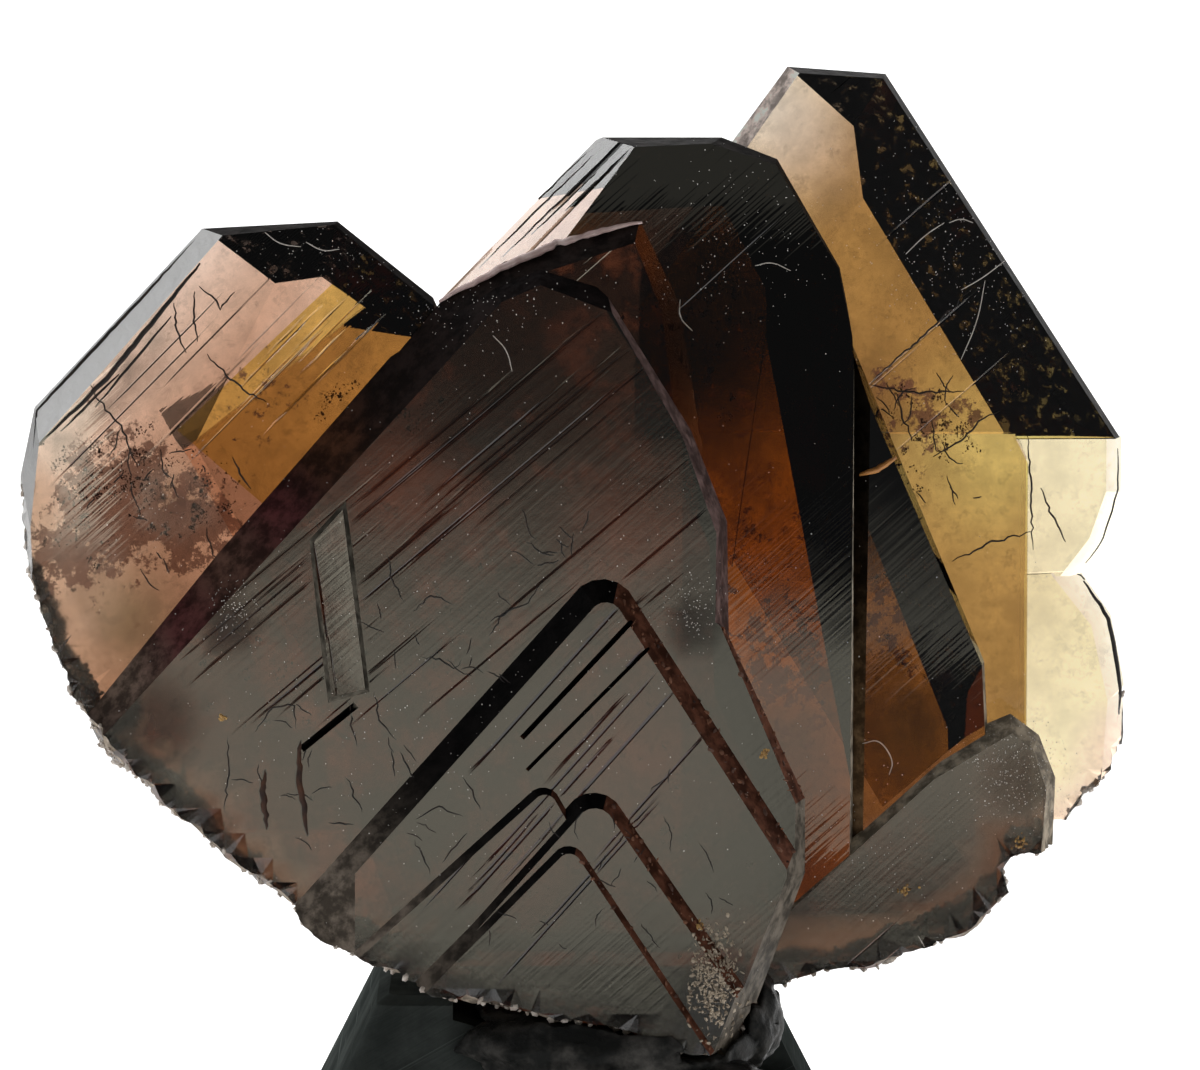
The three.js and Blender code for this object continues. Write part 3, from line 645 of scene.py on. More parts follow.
# A near-black tint, painted shade over the blades' darkest parts.
UMBER_SHADE = (0.0009, 0.0006, 0.0005)
MAROON = (0.06, 0.016, 0.018)
FADED = (0.14, 0.115, 0.093)
PALE_RIM = (1, 0.85, 0.7)
TINTS = {
    "front": (
        SMOKE,
        [
            (COFFEE, (0, 36), 7), (COFFEE, (-11, 30), 4), (RUST, (-6.7, 33.4), 2), (RUST, (3, 32), 2),
            (UMBER_SHADE, (-2.5, 40), 4.4), (UMBER_SHADE, (4.5, 35.5), 2.6), (UMBER_SHADE, (-3, 35.6), 2),
            ((0.022, 0.015, 0.013), (-16, 23.5), 3.2), ((0.02, 0.014, 0.012), (-12.5, 19), 2.4),
        ],
    ),
    "rib": ((0.004, 0.004, 0.004), []),
    "terrace": (
        SMOKE,
        [(RUST, (2.8, 22.4), 2.2), (RUST, (-1.5, 18), 1.5), ((0.5, 0.34, 0.2), (6.3, 12.6), 1.6)],
    ),
    "left": (
        (1, 0.72, 0.58),
        [
            ((0.26, 0.25, 0.145), (-18, 27.5), 3.2), ((0.3, 0.24, 0.16), (-20.8, 30), 2),
            ((0.3, 0.25, 0.17), (-16, 32.3), 1.3), ((0.06, 0.055, 0.045), (-20.7, 34.9), 0.9),
            ((0.08, 0.075, 0.06), (-19.4, 36.2), 0.8), ((0.12, 0.11, 0.09), (-18.1, 37.7), 0.8),
            ((0.25, 0.22, 0.18), (-16.8, 39.2), 0.8),
        ],
    ),
    "veil": ((0.0015, 0.001, 0.0008), []),
    "veil edge": ((0.05, 0.012, 0.002), [(UMBER_SHADE, (5, 39), 3)]),
    "middle": (
        (1, 0.4, 0.004),
        [
            (UMBER_SHADE, (4, 44.5), 6), (UMBER_SHADE, (6, 41.5), 4.4), (UMBER_SHADE, (5.2, 39), 3.2),
            ((0.06, 0.04, 0.02), (9.5, 22), 4), ((0.008, 0.011, 0.011), (8.4, 17.6), 3.4),
        ],
    ),
    "side": (
        (0.8, 0.5, 0.02),
        [(UMBER_SHADE, (13.2, 36), 4), (UMBER_SHADE, (12.4, 32.6), 2.6), ((0.22, 0.2, 0.1), (14, 22.5), 3.4)],
    ),
    "right": (
        (0.5, 0.32, 0.045),
        [
            ((1, 0.92, 0.72), (9.2, 47.6), 2.4), ((1, 1, 0.16), (18, 34), 3),
            ((0.22, 0.12, 0.02), (12.5, 36), 2),
        ],
    ),
    "upper plate": ((1, 1, 0.62), []),
    "lower plate": ((1, 1, 0.55), []),
    "plate rim": ((1, 1, 0.85), []),
    "foot": (
        (0.002, 0.0022, 0.0025),
        [((0.02, 0.018, 0.012), (12, 19.5), 1.8), ((0.02, 0.03, 0.032), (18.7, 20.4), 2.2)],
    ),
    # The tints from the left riser to the foot lobe colour the opaque film: painted shade on the dark edges,
    # rust on the rusty riser.
    "left riser": (
        (0.01, 0.0065, 0.006),
        [
            (MAROON, (-16, 27.5), 3), (MAROON, (-12, 32), 1.6), ((0.05, 0.02, 0.01), (-9.8, 34.8), 1.6),
            ((0.14, 0.1, 0.078), (-18.4, 25.4), 1.8), ((0.075, 0.04, 0.03), (-14, 29.8), 1.8),
        ],
    ),
    "front top": ((0.006, 0.004, 0.004), []),
    "dark riser": ((0.003, 0.0025, 0.0025), [(FADED, (-10, 17.4), 2.8), (FADED, (-7.4, 14.6), 3)]),
    "rusty riser": ((0.085, 0.033, 0.02), []),
    "soft flank": ((0.1, 0.085, 0.068), []),
    "front rim": ((0.1, 0.065, 0.06), []),
    "cleft": ((0.004, 0.003, 0.002), [((0.13, 0.08, 0.042), (12.2, 20.5), 5.5)]),
    "rib edge": ((0.08, 0.072, 0.058), []),
    "veil top": ((0.012, 0.008, 0.007), []),
    "dark edge": ((0.012, 0.009, 0.008), []),
    # Painted light: the pale edge and the left bevel get a pale opaque film.
    "pale edge": ((0.62, 0.52, 0.47), []),
    "left bevel": ((2, 2.05, 1.95), []),
    "foot edge": ((0.36, 0.31, 0.24), []),
    "foot lobe": ((0.24, 0.2, 0.15), []),
    "broken": (PALE_RIM, []),
}
# The film on the rubbed parts of the broken underside.
RUBBED = (0.24, 0.2, 0.16)
# The faces that fade to the pale rim near the break, and what the others fade to.
PALE_FACES = {"left", "upper plate", "lower plate", "plate rim", "right", "plain"}
RIM = (0.3, 0.36, 0.36)
# The golden corner of the left crystal: its tip, and the slants of its two sides.
GOLD = (0.8, 0.47, 0.05)
GOLD_CORNER = (-16, 35.3)
GOLD_SLANTS = (43, -41)
# How mottled the faces are with brown, from 0 for clear to 1.
STAIN = (0.09, 0.026, 0.011)
MOTTLING = {
    "front": 0.7, "terrace": 1, "rib": 0.4, "veil": 0.7, "middle": 0.5, "side": 0.5, "foot": 0.15,
    "left": 0.15, "right": 0.25, "upper plate": 0.05, "lower plate": 0.1, "plate rim": 0, "broken": 0.5,
}
# Where brown moss clouds the crystals, as (middle, radius, amount).
MOSSY_PATCHES = {
    "left": [
        ((-18.4, 32.4), 3, 1.5), ((-15.5, 31.4), 2.4, 1.4), ((-20.4, 30.4), 2.2, 1.2),
        ((-12.5, 36.4), 2.4, 0.6),
    ],
    "right": [((15.2, 34.8), 1.7, 1), ((13.4, 36.3), 1.1, 0.9), ((16.8, 35.2), 1.1, 0.8)],
    "middle": [((7, 37.5), 3, 0.8), ((8.4, 30.5), 3, 0.6), ((9, 25.5), 4, 0.9)],
    "side": [((14.5, 27), 3, 0.8)],
}
MOSS = (0.06, 0.02, 0.013)
# How matt the faces are, from 0 for clear to 1 for frosted, and frosted patches as (middle, radius, amount).
FROST = {"front": 0.16, "rib": 0.12, "terrace": 0.14, "foot": 0.16, "broken": 0.8}
FROST_PATCHES = {
    "left": [((-16, 32.4), 1.2, 0.6), ((-20.6, 28.4), 2, 0.5)],
    "front": [((-13.8, 27.4), 1.3, 0.6), ((5.3, 27.6), 1.2, 0.6), ((-17, 23.4), 2.4, 0.5)],
    "foot": [((18.8, 20.4), 2, 0.3), ((9.5, 15), 2, 0.4)],
    "terrace": [((6.3, 12.4), 1.7, 0.9)],
}


def tint_at(name, x, z):
    if name not in TINTS:
        return (1, 1, 1)
    tint, patches = TINTS[name]
    for patch, at, radius in patches:
        share = near(x, z, at, radius)
        if patch is UMBER_SHADE:
            tint = tuple(p ** (1 - share) * q ** share for p, q in zip(tint, patch))
        else:
            tint = blend(tint, patch, share)
    return tint


def darkness_at(name, x, z):
    """How fully the patches of painted shade cover a place, where brown stains would only look pale."""
    patches = TINTS[name][1] if name in TINTS else []
    return max([near(x, z, at, radius) for tint, at, radius in patches if tint is UMBER_SHADE], default=0)


def gold_sides():
    """The two sides of the golden corner, each as the direction that points into it."""
    upper, lower = (math.radians(slant) for slant in GOLD_SLANTS)
    return Vector((math.sin(upper), 0, -math.cos(upper))), Vector((-math.sin(lower), 0, math.cos(lower)))


def in_gold(point):
    corner = Vector((GOLD_CORNER[0], 0, GOLD_CORNER[1]))
    return all((point - corner).dot(inwards) > 0 for inwards in gold_sides())


def cut_gold_edges(bm, kind):
    geom = part_of(of_kind(bm, kind, "left"))
    for inwards in gold_sides():
        geom = cut(bm, geom, (GOLD_CORNER[0], 0, GOLD_CORNER[1]), inwards)


def crumbling_at(point):
    """Frosting that fades away from the broken underside."""
    reach = break_distance(point.x, point.z) + 0.7 * noise.noise(point * 0.9)
    return min(max(1.15 - reach / 1.5, 0), 1)


def strongest(amount, patches, x, z):
    """A face's own amount of frost or moss, or that of a patch where it is stronger."""
    return max([amount, *[more * near(x, z, at, radius) for at, radius, more in patches]])


# Finishes


def crystal_glass():
    material, tree, surface = shader("axinite")
    surface.inputs["IOR"].default_value = 1.68
    surface.inputs["Transmission Weight"].default_value = 1
    absorb = tree.nodes.new("ShaderNodeVolumeAbsorption")
    absorb.inputs["Color"].default_value = (0.6, 0.374, 0.2, 1)
    absorb.inputs["Density"].default_value = 500
    tree.links.new(absorb.outputs[0], tree.nodes["Material Output"].inputs["Volume"])
    place = object_place(tree)
    frost = attribute(tree, "frost")
    mottling = attribute(tree, "mottling")

    stained = graded(tree, clouds(tree, place, 330, 5, 0.66), 0.469, 0.678, 0, 0.85)
    brown = worked(tree, "MULTIPLY", stained, mottling)
    colour = mixed(tree, brown, attribute(tree, "tint", "Color"), STAIN)
    moss = attribute(tree, "moss")
    clump = clouds(tree, place, 1150, 5, 0.74)
    edge = worked(tree, "MULTIPLY_ADD", moss, -0.287, 0.677)
    mossy = graded(tree, clump, edge, worked(tree, "ADD", edge, 0.077), 0, 0.95)
    mossy = worked(tree, "MULTIPLY", mossy, graded(tree, moss, 0, 0.15, 0, 1))
    colour = mixed(tree, mossy, colour, MOSS)
    shade = graded(tree, clouds(tree, place, 520, 5, 0.66), 0.335, 0.644, 0.7, 0)
    speckle = clouds(tree, place, 1500, 4, 0.7)
    flecks = graded(tree, speckle, 0.347, 0.5, 0.8, 0)
    weight = worked(tree, "MULTIPLY_ADD", mottling, 0.75, 0.25)
    dark = worked(tree, "MULTIPLY", worked(tree, "MAXIMUM", shade, flecks), weight)
    # Painted shade: the glass's colour darkens in the growth furrows.
    groove_shade = worked(tree, "MULTIPLY", attribute(tree, "groove"), 0.9)
    unshaded = worked(tree, "SUBTRACT", 1, dark)
    clear = worked(tree, "MULTIPLY", unshaded, worked(tree, "SUBTRACT", 1, groove_shade))
    feed(tree, surface.inputs["Base Color"], scaled(tree, colour, clear))

    # Clear faces stay perfectly smooth, which also keeps the render quick.
    pits = graded(tree, speckle, 0.5, 0.655, 0, 0.3)
    etched = worked(tree, "MULTIPLY", pits, attribute(tree, "etch"))
    satin = worked(tree, "MINIMUM", frost, 0.015)
    matt = worked(tree, "MULTIPLY_ADD", frost, 0.535, satin)
    feed(tree, surface.inputs["Roughness"], worked(tree, "ADD", matt, etched))

    grain = worked(tree, "MULTIPLY", clouds(tree, place, 2600, 2), worked(tree, "POWER", frost, 2))
    growth = worked(tree, "MULTIPLY", streaks(tree, place, 41, 9, 0.14, 1), 0.03)
    swell = worked(tree, "MULTIPLY", clouds(tree, place, 160, 2), 0.3)
    relief = worked(tree, "ADD", worked(tree, "ADD", grain, growth), swell)
    raised(tree, surface, relief, 0.04)
    return material


def shade_light_rust_and_wear_film():
    """The dull opaque film on the risers and edges, with brown moss in it: painted shade on the dark edges,
    painted light on the pale edge and the left bevel, rust on the rusty riser and wear on the rubbed breaks.
    """
    material, tree, surface = shader("riser film of painted shade and light")
    place = object_place(tree)
    patch = graded(tree, clouds(tree, place, 1300, 6, 0.65), 0.38, 0.66, 0.5, 1.8)
    capped = tree.nodes.new("ShaderNodeVectorMath")
    capped.operation = "MINIMUM"
    feed(tree, capped.inputs[0], scaled(tree, attribute(tree, "tint", "Color"), patch))
    capped.inputs[1].default_value = (0.9, 0.9, 0.9)
    feed(tree, surface.inputs["Base Color"], capped.outputs[0])
    surface.inputs["Roughness"].default_value = 0.45
    surface.inputs["Specular IOR Level"].default_value = 0.02
    raised(tree, surface, clouds(tree, place, 1700, 5), 0.08)
    return material


def paint_faces(bm, kind):
    """Gives the faces' corners their tints, and says how frosted, mottled, mossy and etched they are."""
    layers = bm.loops.layers
    tint = layers.float_color.new("tint")
    frost, mottling, moss, etch = (layers.float.new(name) for name in ("frost", "mottling", "moss", "etch"))
    crumbling = {vert: crumbling_at(vert.co) for vert in bm.verts}
    for face in bm.faces:
        name = KINDS[face[kind]]
        middle = face.calc_center_median()
        rubbed = name == "broken" and middle.x < PLATE_ROOM[0] and noise.noise(middle * 1.1) > -0.05
        # Filmed faces turn opaque, with the film's painted shade, painted light, rust or wear as their tint.
        filmed = name in SHADE_LIGHT_AND_RUST_FILMED or rubbed
        face.material_index = 1 if filmed else 0
        golden = name == "left" and in_gold(middle)
        for corner in face.loops:
            x, _, z = corner.vert.co
            crumbled = crumbling[corner.vert]
            colour = GOLD if golden else RUBBED if rubbed else tint_at(name, x, z)
            if not filmed:
                colour = blend(colour, PALE_RIM if name in PALE_FACES else RIM, crumbled)
            corner[tint] = (*colour, 1)
            matt = strongest(FROST.get(name, 0), FROST_PATCHES.get(name, []), x, z)
            corner[frost] = max(0.45 * crumbled, matt)
            clear = 1 - darkness_at(name, x, z)
            corner[mottling] = 0.4 if golden else clear * MOTTLING.get(name, 0.2)
            corner[moss] = clear * strongest(0, MOSSY_PATCHES.get(name, []), x, z)
            corner[etch] = 1 if name == "back bevel" else 0


def grow_crystal():
    planes = named_planes()
    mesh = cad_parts["crystal"].data.copy()
    mesh.name = "crystal group"
    bm = bmesh.new()
    bm.from_mesh(mesh)
    bmesh.ops.remove_doubles(bm, verts=bm.verts, dist=1e-6)
    bmesh.ops.scale(bm, vec=(1 / MM,) * 3, verts=bm.verts)
    bmesh.ops.dissolve_limit(bm, angle_limit=math.radians(0.4), verts=bm.verts, edges=bm.edges)
    bm.normal_update()
    kind = bm.faces.layers.int.new("kind")
    groove = bm.verts.layers.float.new("groove")
    for face in bm.faces:
        face[kind] = KINDS.index(kind_of(face, planes))
    cut_gold_edges(bm, kind)
    cut_grid(bm, kind)
    roughen_break(bm, kind)
    cut_growth_lines(bm, kind, planes, groove)
    bmesh.ops.triangulate(bm, faces=bm.faces)
    paint_faces(bm, kind)
    bmesh.ops.scale(bm, vec=(MM,) * 3, verts=bm.verts)
    skins = {name: skin(of_kind(bm, kind, name), name) for name in ("broken", "rusty riser")}
    mesh.materials.clear()
    mesh.materials.append(crystal_glass())
    mesh.materials.append(shade_light_rust_and_wear_film())
    bm.to_mesh(mesh)
    surface = BVHTree.FromBMesh(bm)
    bm.free()
    for poly in mesh.polygons:
        poly.use_smooth = False
    crystal = link(bpy.data.objects.new("crystal_group", mesh))
    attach(crystal, "root")
    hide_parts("crystal")
    return skins, surface


def skin(faces, name):
    """Some of the crystal's faces as a mesh of their own, for what grows on them."""
    places = {}
    corners = []
    for face in faces:
        corners.append([places.setdefault(vert.co.to_tuple(7), len(places)) for vert in face.verts])
    mesh = bpy.data.meshes.new(name)
    mesh.from_pydata(list(places), [], corners)
    return mesh


# Things on and in the crystal


FULL_TURN = 6.283


def tree_with(name, inputs):
    """A Geometry Nodes tree with its named inputs, and the nodes at its two ends."""
    tree = bpy.data.node_groups.new(name, "GeometryNodeTree")
    tree.interface.new_socket("Geometry", in_out="INPUT", socket_type="NodeSocketGeometry")
    for label, socket in inputs.items():
        tree.interface.new_socket(label, in_out="INPUT", socket_type="NodeSocket" + socket)
    tree.interface.new_socket("Geometry", in_out="OUTPUT", socket_type="NodeSocketGeometry")
    return tree, tree.nodes.new("NodeGroupInput"), tree.nodes.new("NodeGroupOutput")


def closed_tree(tree, start, end, made):
    """Ends a tree: what it made becomes real mesh and gets its finish."""
    real = tree.nodes.new("GeometryNodeRealizeInstances")
    finish = tree.nodes.new("GeometryNodeSetMaterial")
    tree.links.new(made, real.inputs["Geometry"])
    tree.links.new(real.outputs["Geometry"], finish.inputs["Geometry"])
    tree.links.new(start.outputs["Finish"], finish.inputs["Material"])
    tree.links.new(finish.outputs["Geometry"], end.inputs["Geometry"])
    return tree


def random_value(tree, kind, low, high, seed):
    """A random number or vector for each point, between two sockets or values."""
    node = tree.nodes.new("FunctionNodeRandomValue")
    node.data_type = kind
    first = 0 if kind == "FLOAT_VECTOR" else 2
    feed(tree, node.inputs[first], low)
    feed(tree, node.inputs[first + 1], high)
    node.inputs["Seed"].default_value = seed
    return node.outputs[0 if kind == "FLOAT_VECTOR" else 1]


def bits_tree(name, on_faces):
    """Small angular bits, on the points of the carrier or strewn over its faces."""
    sizes_and_finish = {"Smallest": "Vector", "Largest": "Vector", "Seed": "Int", "Finish": "Material"}
    tree, start, end = tree_with(name, {"Density": "Float", **sizes_and_finish})
    links = tree.links
    points = start.outputs["Geometry"]
    if on_faces:
        strew = tree.nodes.new("GeometryNodeDistributePointsOnFaces")
        links.new(points, strew.inputs["Mesh"])
        links.new(start.outputs["Density"], strew.inputs["Density"])
        links.new(start.outputs["Seed"], strew.inputs["Seed"])
        points = strew.outputs["Points"]
    bit = tree.nodes.new("GeometryNodeMeshIcoSphere")
    bit.inputs["Radius"].default_value = 1
    bit.inputs["Subdivisions"].default_value = 1
    place = tree.nodes.new("GeometryNodeInstanceOnPoints")
    links.new(points, place.inputs["Points"])
    links.new(bit.outputs["Mesh"], place.inputs["Instance"])
    links.new(random_value(tree, "FLOAT_VECTOR", (0, 0, 0), (FULL_TURN,) * 3, 3), place.inputs["Rotation"])
    size = random_value(tree, "FLOAT_VECTOR", start.outputs["Smallest"], start.outputs["Largest"], 7)
    links.new(size, place.inputs["Scale"])
    tone = tree.nodes.new("GeometryNodeStoreNamedAttribute")
    tone.domain = "INSTANCE"
    tone.inputs["Name"].default_value = "tone"
    links.new(place.outputs["Instances"], tone.inputs["Geometry"])
    links.new(random_value(tree, "FLOAT", 0, 1, 11), tone.inputs["Value"])
    return closed_tree(tree, start, end, tone.outputs["Geometry"])


def strands_tree(name):
    """Thin strands along the carrier's edges, as thick as its half attribute says."""
    tree, start, end = tree_with(name, {"Finish": "Material"})
    links = tree.links
    paths = tree.nodes.new("GeometryNodeMeshToCurve")
    links.new(start.outputs["Geometry"], paths.inputs["Mesh"])
    half = tree.nodes.new("GeometryNodeInputNamedAttribute")
    half.data_type = "FLOAT"
    half.inputs["Name"].default_value = "half"
    ring = tree.nodes.new("GeometryNodeCurvePrimitiveCircle")
    ring.inputs["Resolution"].default_value = 5
    ring.inputs["Radius"].default_value = 1
    tube = tree.nodes.new("GeometryNodeCurveToMesh")
    links.new(paths.outputs["Curve"], tube.inputs["Curve"])
    links.new(half.outputs["Attribute"], tube.inputs["Scale"])
    links.new(ring.outputs["Curve"], tube.inputs["Profile Curve"])
    tube.inputs["Fill Caps"].default_value = True
    return closed_tree(tree, start, end, tube.outputs["Mesh"])


def grown(name, carrier, tree, values):
    """Runs a tree on a carrier mesh and keeps what it makes as a plain mesh."""
    maker = link(bpy.data.objects.new(name + " carrier", carrier))
    modifier = maker.modifiers.new("grow", "NODES")
    modifier.node_group = tree
    for socket in tree.interface.items_tree:
        if socket.name in values:
            modifier[socket.identifier] = values[socket.name]
    mesh = bpy.data.meshes.new_from_object(maker.evaluated_get(bpy.context.evaluated_depsgraph_get()))
    bpy.data.objects.remove(maker)
    bm = bmesh.new()
    bm.from_mesh(mesh)
    bmesh.ops.recalc_face_normals(bm, faces=bm.faces)
    for face in bm.faces:
        face.material_index = 0
    bm.to_mesh(mesh)
    bm.free()
    mesh.materials.clear()
    mesh.materials.append(values["Finish"])
    piece = link(bpy.data.objects.new(name, mesh))
    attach(piece, "root")


def sight(across, up):
    """The line of sight through a place in the picture plane, given in mm."""
    return (picture_point(across * MM, up * MM) - eye).normalized()


def seen_surface(surface, across, up):
    """Where the line of sight meets the crystal, or None."""
    place, normal, face, distance = surface.ray_cast(eye, sight(across, up))
    return place, normal


def inside(surface, across, up, share):
    """A point within the crystal on the line of sight, at a share of the way through, or None."""
    ahead = sight(across, up)
    near_side = surface.ray_cast(eye, ahead)[0]
    if near_side is None:
        return None
    far_side = surface.ray_cast(near_side + ahead * 0.01 * MM, ahead)[0]
    if far_side is None:
        return None
    return near_side.lerp(far_side, share)


def rounded(path):
    """The path with its corners eased into a curve."""
    for _ in range(3):
        eased = [path[0]]
        for (ax, az), (bx, bz) in zip(path, path[1:]):
            eased.append((0.75 * ax + 0.25 * bx, 0.75 * az + 0.25 * bz))
            eased.append((0.25 * ax + 0.75 * bx, 0.25 * az + 0.75 * bz))
        path = [*eased, path[-1]]
    return path


def resampled(path, step, rng, jitter):
    """The path in short steps, each put a little aside."""
    points = []
    for (ax, az), (bx, bz) in zip(path, path[1:]):
        count = max(1, round(math.hypot(bx - ax, bz - az) / step))
        for i in range(count):
            share = i / count
            points.append((ax + (bx - ax) * share, az + (bz - az) * share))
    points.append(path[-1])
    return [(x + rng.uniform(-jitter, jitter), z + rng.uniform(-jitter, jitter)) for x, z in points]


def strand_carrier(name, surface, paths, half, lift):
    """Edges that follow the paths over the crystal's faces, thin at the ends."""
    places, edges, halves = [], [], []
    for points in paths:
        last = None
        for i, point in enumerate(points):
            place, normal = seen_surface(surface, *point)
            if place is None or (last is not None and (place - last).length > 0.8 * MM):
                last = None
                continue
            places.append(place + normal * lift)
            swell = math.sin(math.pi * (i + 0.5) / len(points)) ** 0.7
            halves.append(half * (0.25 + 0.75 * swell))
            if last is not None:
                edges.append((len(places) - 2, len(places) - 1))
            last = place
    mesh = bpy.data.meshes.new(name)
    mesh.from_pydata(places, edges, [])
    mesh.attributes.new("half", "FLOAT", "POINT").data.foreach_set("value", halves)
    return mesh


def hair_cracks(rng):
    """Short jagged cracks within each field."""
    paths = []
    for (x, z), (wide, high), count in CRACK_FIELDS:
        for _ in range(count):
            at = (x + wide * rng.uniform(-1, 1), z + high * rng.uniform(-1, 1))
            turn = math.radians(rng.choice(CRACK_TURNS) + rng.uniform(-14, 14))
            path = [at]
            for _ in range(rng.randint(2, 4)):
                turn += rng.uniform(-0.5, 0.5)
                reach = rng.uniform(0.15, 0.45)
                path.append((path[-1][0] + reach * math.cos(turn), path[-1][1] + reach * math.sin(turn)))
            paths.append(path)
    return paths


def toned(name, dark, pale, roughness, transmission=0.0):
    """A mineral finish whose colour varies from bit to bit and over each bit."""
    material, tree, surface = shader(name)
    patch = clouds(tree, object_place(tree), 1800)
    tone = graded(tree, worked(tree, "MULTIPLY_ADD", attribute(tree, "tone"), 0.7, patch), 0.3, 1, 0, 1)
    feed(tree, surface.inputs["Base Color"], mixed(tree, tone, dark, pale))
    raised(tree, surface, patch, 0.05)
    surface.inputs["Roughness"].default_value = roughness
    surface.inputs["Transmission Weight"].default_value = transmission
    return material


def draw_cracks(surface, strands):
    """Cracks, slots, edge lines of painted shade, the veil's painted highlight, splinters and lint, each kind
    a piece made of thin strands.
    """
    rng = random.Random(17)

    def jagged(paths, step, jitter):
        return [resampled(path, step, rng, jitter) for path in paths]

    def draw(name, carrier, paths, half, lift, finish):
        """Lays strands on the faces, with their half width and lift in mm."""
        mesh = strand_carrier(carrier, surface, paths, half * MM, lift * MM)
        grown(name, mesh, strands, {"Finish": finish})

    # The dark finish serves the cracks and the painted shade along the edges.
    dark = toned("crack dark and edge shade", (0.004, 0.003, 0.003), (0.05, 0.022, 0.014), 0.55)
    rust = toned("slot rust", (0.02, 0.008, 0.005), (0.14, 0.05, 0.02), 0.7)
    highlight_pink = toned("ridge painted highlight pink", (0.55, 0.38, 0.36), (0.98, 0.84, 0.8), 0.35)
    amber = toned("amber", (0.4, 0.16, 0.04), (0.75, 0.36, 0.1), 0.4)
    pale = toned("lint", (0.5, 0.45, 0.4), (0.9, 0.87, 0.82), 0.7)
    draw("cracks", "crack paths", jagged(CRACKS, 0.22, 0.06), 0.045, -0.02, dark)
    draw("hair_cracks", "hair crack paths", jagged(hair_cracks(rng), 0.12, 0.025), 0.035, -0.015, dark)
    draw("rust_slots", "slot paths", jagged(RUST_SLOTS, 0.2, 0.05), 0.16, -0.06, rust)
    # Painted shade: dark strands along the bevels and the plates' edges.
    draw("edge_shade_lines", "edge paths", jagged(EDGE_SHADE_LINES, 0.4, 0.02), 0.06, -0.03, dark)
    draw("edge_shade_bands", "band paths", jagged(EDGE_SHADE_BANDS, 0.3, 0.02), 0.12, -0.05, dark)
    # Painted highlight: a pale pink strand along the veil's top edge.
    draw("veil_highlight_ridge", "ridge path", jagged([VEIL_HIGHLIGHT_RIDGE], 0.3, 0.04), 0.17, 0.1, highlight_pink)
    draw("amber_splinter", "splinter path", jagged([AMBER_SPLINTER], 0.2, 0.02), 0.14, 0, amber)
    draw("lint", "lint paths", [rounded(path) for path in LINT], 0.024, 0.025, pale)


def points_mesh(name, places):
    mesh = bpy.data.meshes.new(name)
    mesh.from_pydata(places, [], [])
    return mesh


def moss_places(surface):
    """Points in loose clumps within the crystals."""
    rng = random.Random(23)
    places = []
    for (x, z), (wide, high), clumps, (shallow, deep) in MOSS_CLOUDS:
        for _ in range(clumps):
            across = x + wide * rng.gauss(0, 0.5)
            up = z + high * rng.gauss(0, 0.5)
            share = rng.uniform(shallow, deep)
            reach = rng.uniform(0.1, 0.4)
            for _ in range(rng.randint(4, 22)):
                aside = (across + reach * rng.gauss(0, 0.6), up + reach * rng.gauss(0, 0.6))
                place = inside(surface, *aside, share + rng.uniform(0, 0.05))
                if place is not None:
                    places.append(place)
    return places


def strewn(surface, seed, fields, spread):
    """Points on the faces, thickest in the middle of each field."""
    rng = random.Random(seed)
    places = []
    for (x, z), (wide, high), count in fields:
        for _ in range(count):
            aside = (x + wide * rng.gauss(0, spread), z + high * rng.gauss(0, spread))
            place = seen_surface(surface, *aside)[0]
            if place is not None:
                places.append(place)
    return places


def sizes(smallest, largest):
    """The half sizes of the smallest and the largest bits, given in mm, as the trees take them."""
    return {
        "Smallest": tuple(size * MM for size in smallest),
        "Largest": tuple(size * MM for size in largest),
    }


def sow_bits(surface, bits):
    """Moss inside the crystals, and dust that also stands in as painted glints, lumps of ochre and crumbs on
    them.
    """
    lumps = [(at, (reach, reach), OCHRE_GRAINS) for at, reach in OCHRE_LUMPS]
    corner = strewn(surface, 41, [CRUMBLY_CORNER], 0.5)
    sown = [
        ("moss", moss_places(surface), sizes((0.012, 0.012, 0.01), (0.085, 0.06, 0.03)),
         toned("moss brown", (0.01, 0.006, 0.005), (0.16, 0.07, 0.035), 0.5)),
        # Pale grains, partly dust and partly painted glints.
        ("dust_and_glints", strewn(surface, 31, DUST_AND_GLINT_FIELDS, 0.55), sizes((0.008, 0.008, 0.006), (0.042, 0.03, 0.025)),
         toned("dust_and_glints", (0.35, 0.3, 0.26), (0.95, 0.92, 0.88), 0.5)),
        ("ochre_lumps", strewn(surface, 37, lumps, 0.5), sizes((0.03, 0.03, 0.025), (0.13, 0.11, 0.08)),
         toned("ochre", (0.12, 0.05, 0.018), (0.5, 0.3, 0.1), 0.5)),
        ("corner_crumbs", corner, sizes((0.02, 0.02, 0.015), (0.16, 0.13, 0.06)),
         toned("corner crumb", (0.12, 0.09, 0.06), (0.45, 0.37, 0.28), 0.5)),
    ]
    for name, places, reach, finish in sown:
        grown(name, points_mesh(name + " places", places), bits, {**reach, "Finish": finish})


def crust_over(skins, bits):
    rust = {
        **sizes((0.02, 0.02, 0.015), (0.2, 0.15, 0.08)),
        "Density": 5e6,
        "Seed": 4,
        "Finish": toned("iron crust", (0.02, 0.007, 0.005), (0.17, 0.065, 0.03), 0.7),
    }
    grown("iron_crust", skins["rusty riser"], bits, rust)
    crumbs = {
        **sizes((0.08, 0.08, 0.06), (0.26, 0.24, 0.2)),
        "Density": 2.6e6,
        "Seed": 9,
        "Finish": toned("crumb", (0.3, 0.22, 0.16), (0.85, 0.76, 0.68), 0.4, 0.45),
    }
    grown("rim_crumbs", skins["broken"], bits, crumbs)


# Stand and putty


# How far the putty's folds stand out, in mm.
PUTTY_FOLD = 0.13


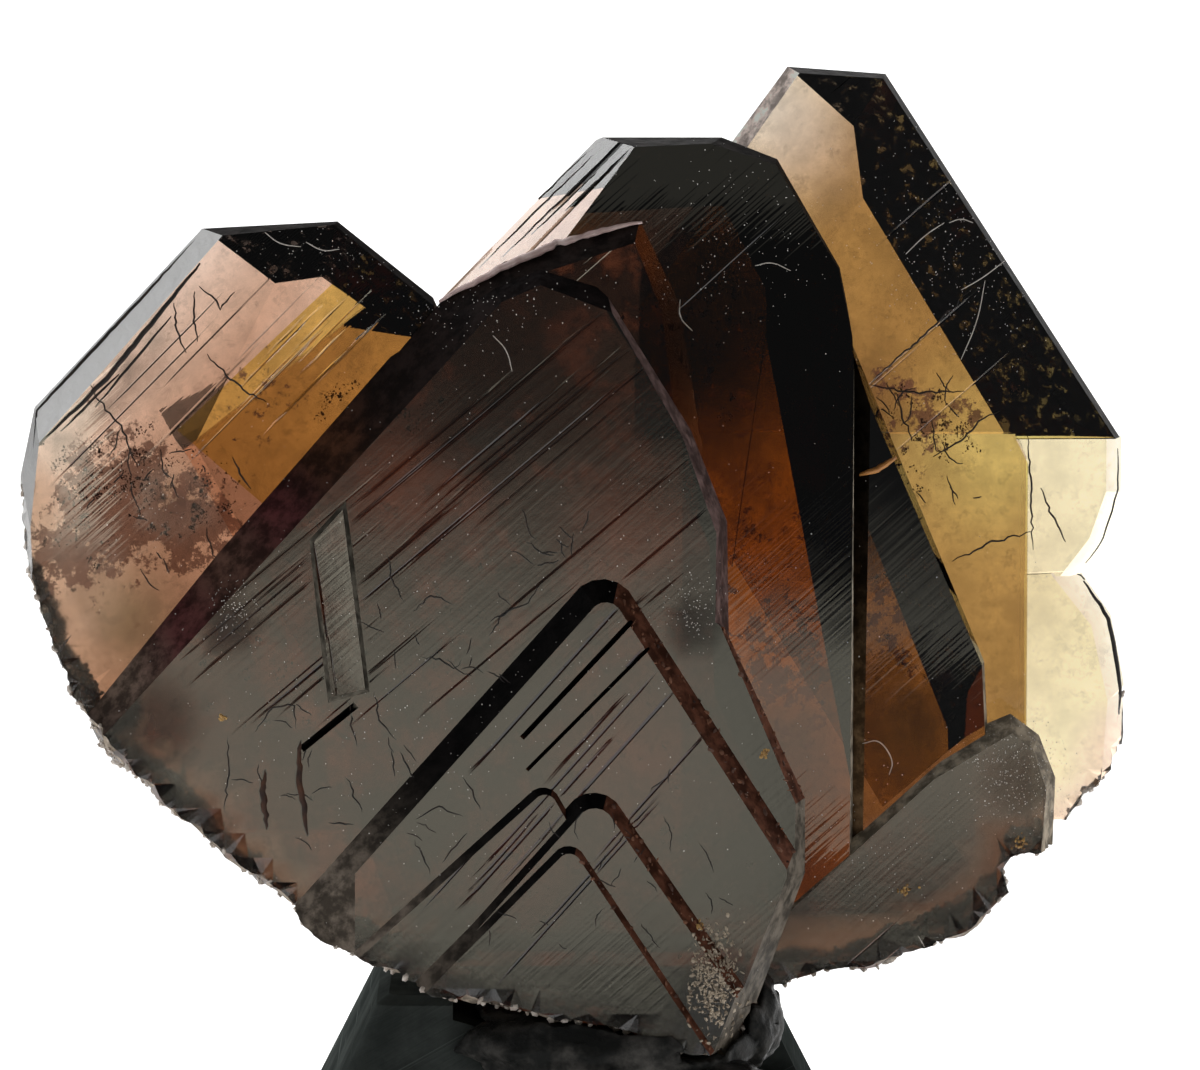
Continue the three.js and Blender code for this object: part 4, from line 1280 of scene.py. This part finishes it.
def finish_stand():
    """Black, with fine scratches from handling, a painted satin sheen in their lighter scuffs, and a little
    dust.
    """
    material, tree, surface = shader("black with painted satin sheen")
    place = object_place(tree)
    wear = graded(tree, clouds(tree, place, 140, 6, 0.65), 0.35, 0.7, 0, 1)
    scratches = streaks(tree, place, 28, 14, 0.12, 3)
    # The lighter scuffs are scratches and painted satin sheen, as the finish has no specular.
    scuffs_and_sheen = graded(tree, scratches, 0.56, 0.74, 0, 0.6)
    wear_and_sheen = worked(tree, "MAXIMUM", worked(tree, "MULTIPLY", wear, 0.5), scuffs_and_sheen)
    colour = mixed(tree, wear_and_sheen, (0.026, 0.03, 0.0285), (0.11, 0.123, 0.117))
    feed(tree, surface.inputs["Base Color"], colour)
    feed(tree, surface.inputs["Roughness"], worked(tree, "MULTIPLY_ADD", wear, 0.22, 0.3))
    grain = worked(tree, "MULTIPLY", clouds(tree, place, 2400), 0.3)
    raised(tree, surface, worked(tree, "ADD", scratches, grain), 0.03)
    surface.inputs["Specular IOR Level"].default_value = 0
    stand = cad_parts["stand"]
    stand.data.materials.clear()
    stand.data.materials.append(material)


def putty_black():
    material, tree, surface = shader("black putty")
    place = object_place(tree)
    patch = clouds(tree, place, 700, 6, 0.6)
    tone = graded(tree, patch, 0.4, 0.75, 0, 1)
    feed(tree, surface.inputs["Base Color"], mixed(tree, tone, (0.014, 0.0145, 0.014), (0.085, 0.08, 0.074)))
    feed(tree, surface.inputs["Roughness"], graded(tree, patch, 0.3, 0.7, 0.22, 0.5))
    raised(tree, surface, clouds(tree, place, 1600, 5), 0.12)
    surface.inputs["Specular IOR Level"].default_value = 0.03
    return material


def press_putty():
    """The lump of putty with its pressed folds and crumbs, in place of its plain solid."""
    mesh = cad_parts["putty"].data.copy()
    mesh.name = "putty"
    bm = bmesh.new()
    bm.from_mesh(mesh)
    bmesh.ops.remove_doubles(bm, verts=bm.verts, dist=1e-6)
    bmesh.ops.subdivide_edges(bm, edges=bm.edges, cuts=1, use_grid_fill=True)
    bmesh.ops.triangulate(bm, faces=bm.faces)
    for _ in range(2):
        bmesh.ops.smooth_vert(
            bm, verts=bm.verts, factor=0.5, use_axis_x=True, use_axis_y=True, use_axis_z=True
        )
    bm.normal_update()
    for vert in bm.verts:
        place = vert.co / MM
        fold = 1 - abs(noise.noise(place * 0.8)) * 2
        crumbs = noise.fractal(place * 2.2, 0.8, 2, 3)
        vert.co += vert.normal * PUTTY_FOLD * MM * (0.6 * fold + 0.5 * crumbs)
    bm.to_mesh(mesh)
    bm.free()
    for poly in mesh.polygons:
        poly.use_smooth = True
    mesh.materials.clear()
    mesh.materials.append(putty_black())
    putty = link(bpy.data.objects.new("putty_lump", mesh))
    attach(putty, "root")
    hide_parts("putty")


eye = aim_camera()
light_studio()
lay_floor()
skins, surface = grow_crystal()
draw_cracks(surface, strands_tree("strands along paths"))
sow_bits(surface, bits_tree("bits at points", False))
crust_over(skins, bits_tree("bits on faces", True))
finish_stand()
press_putty()
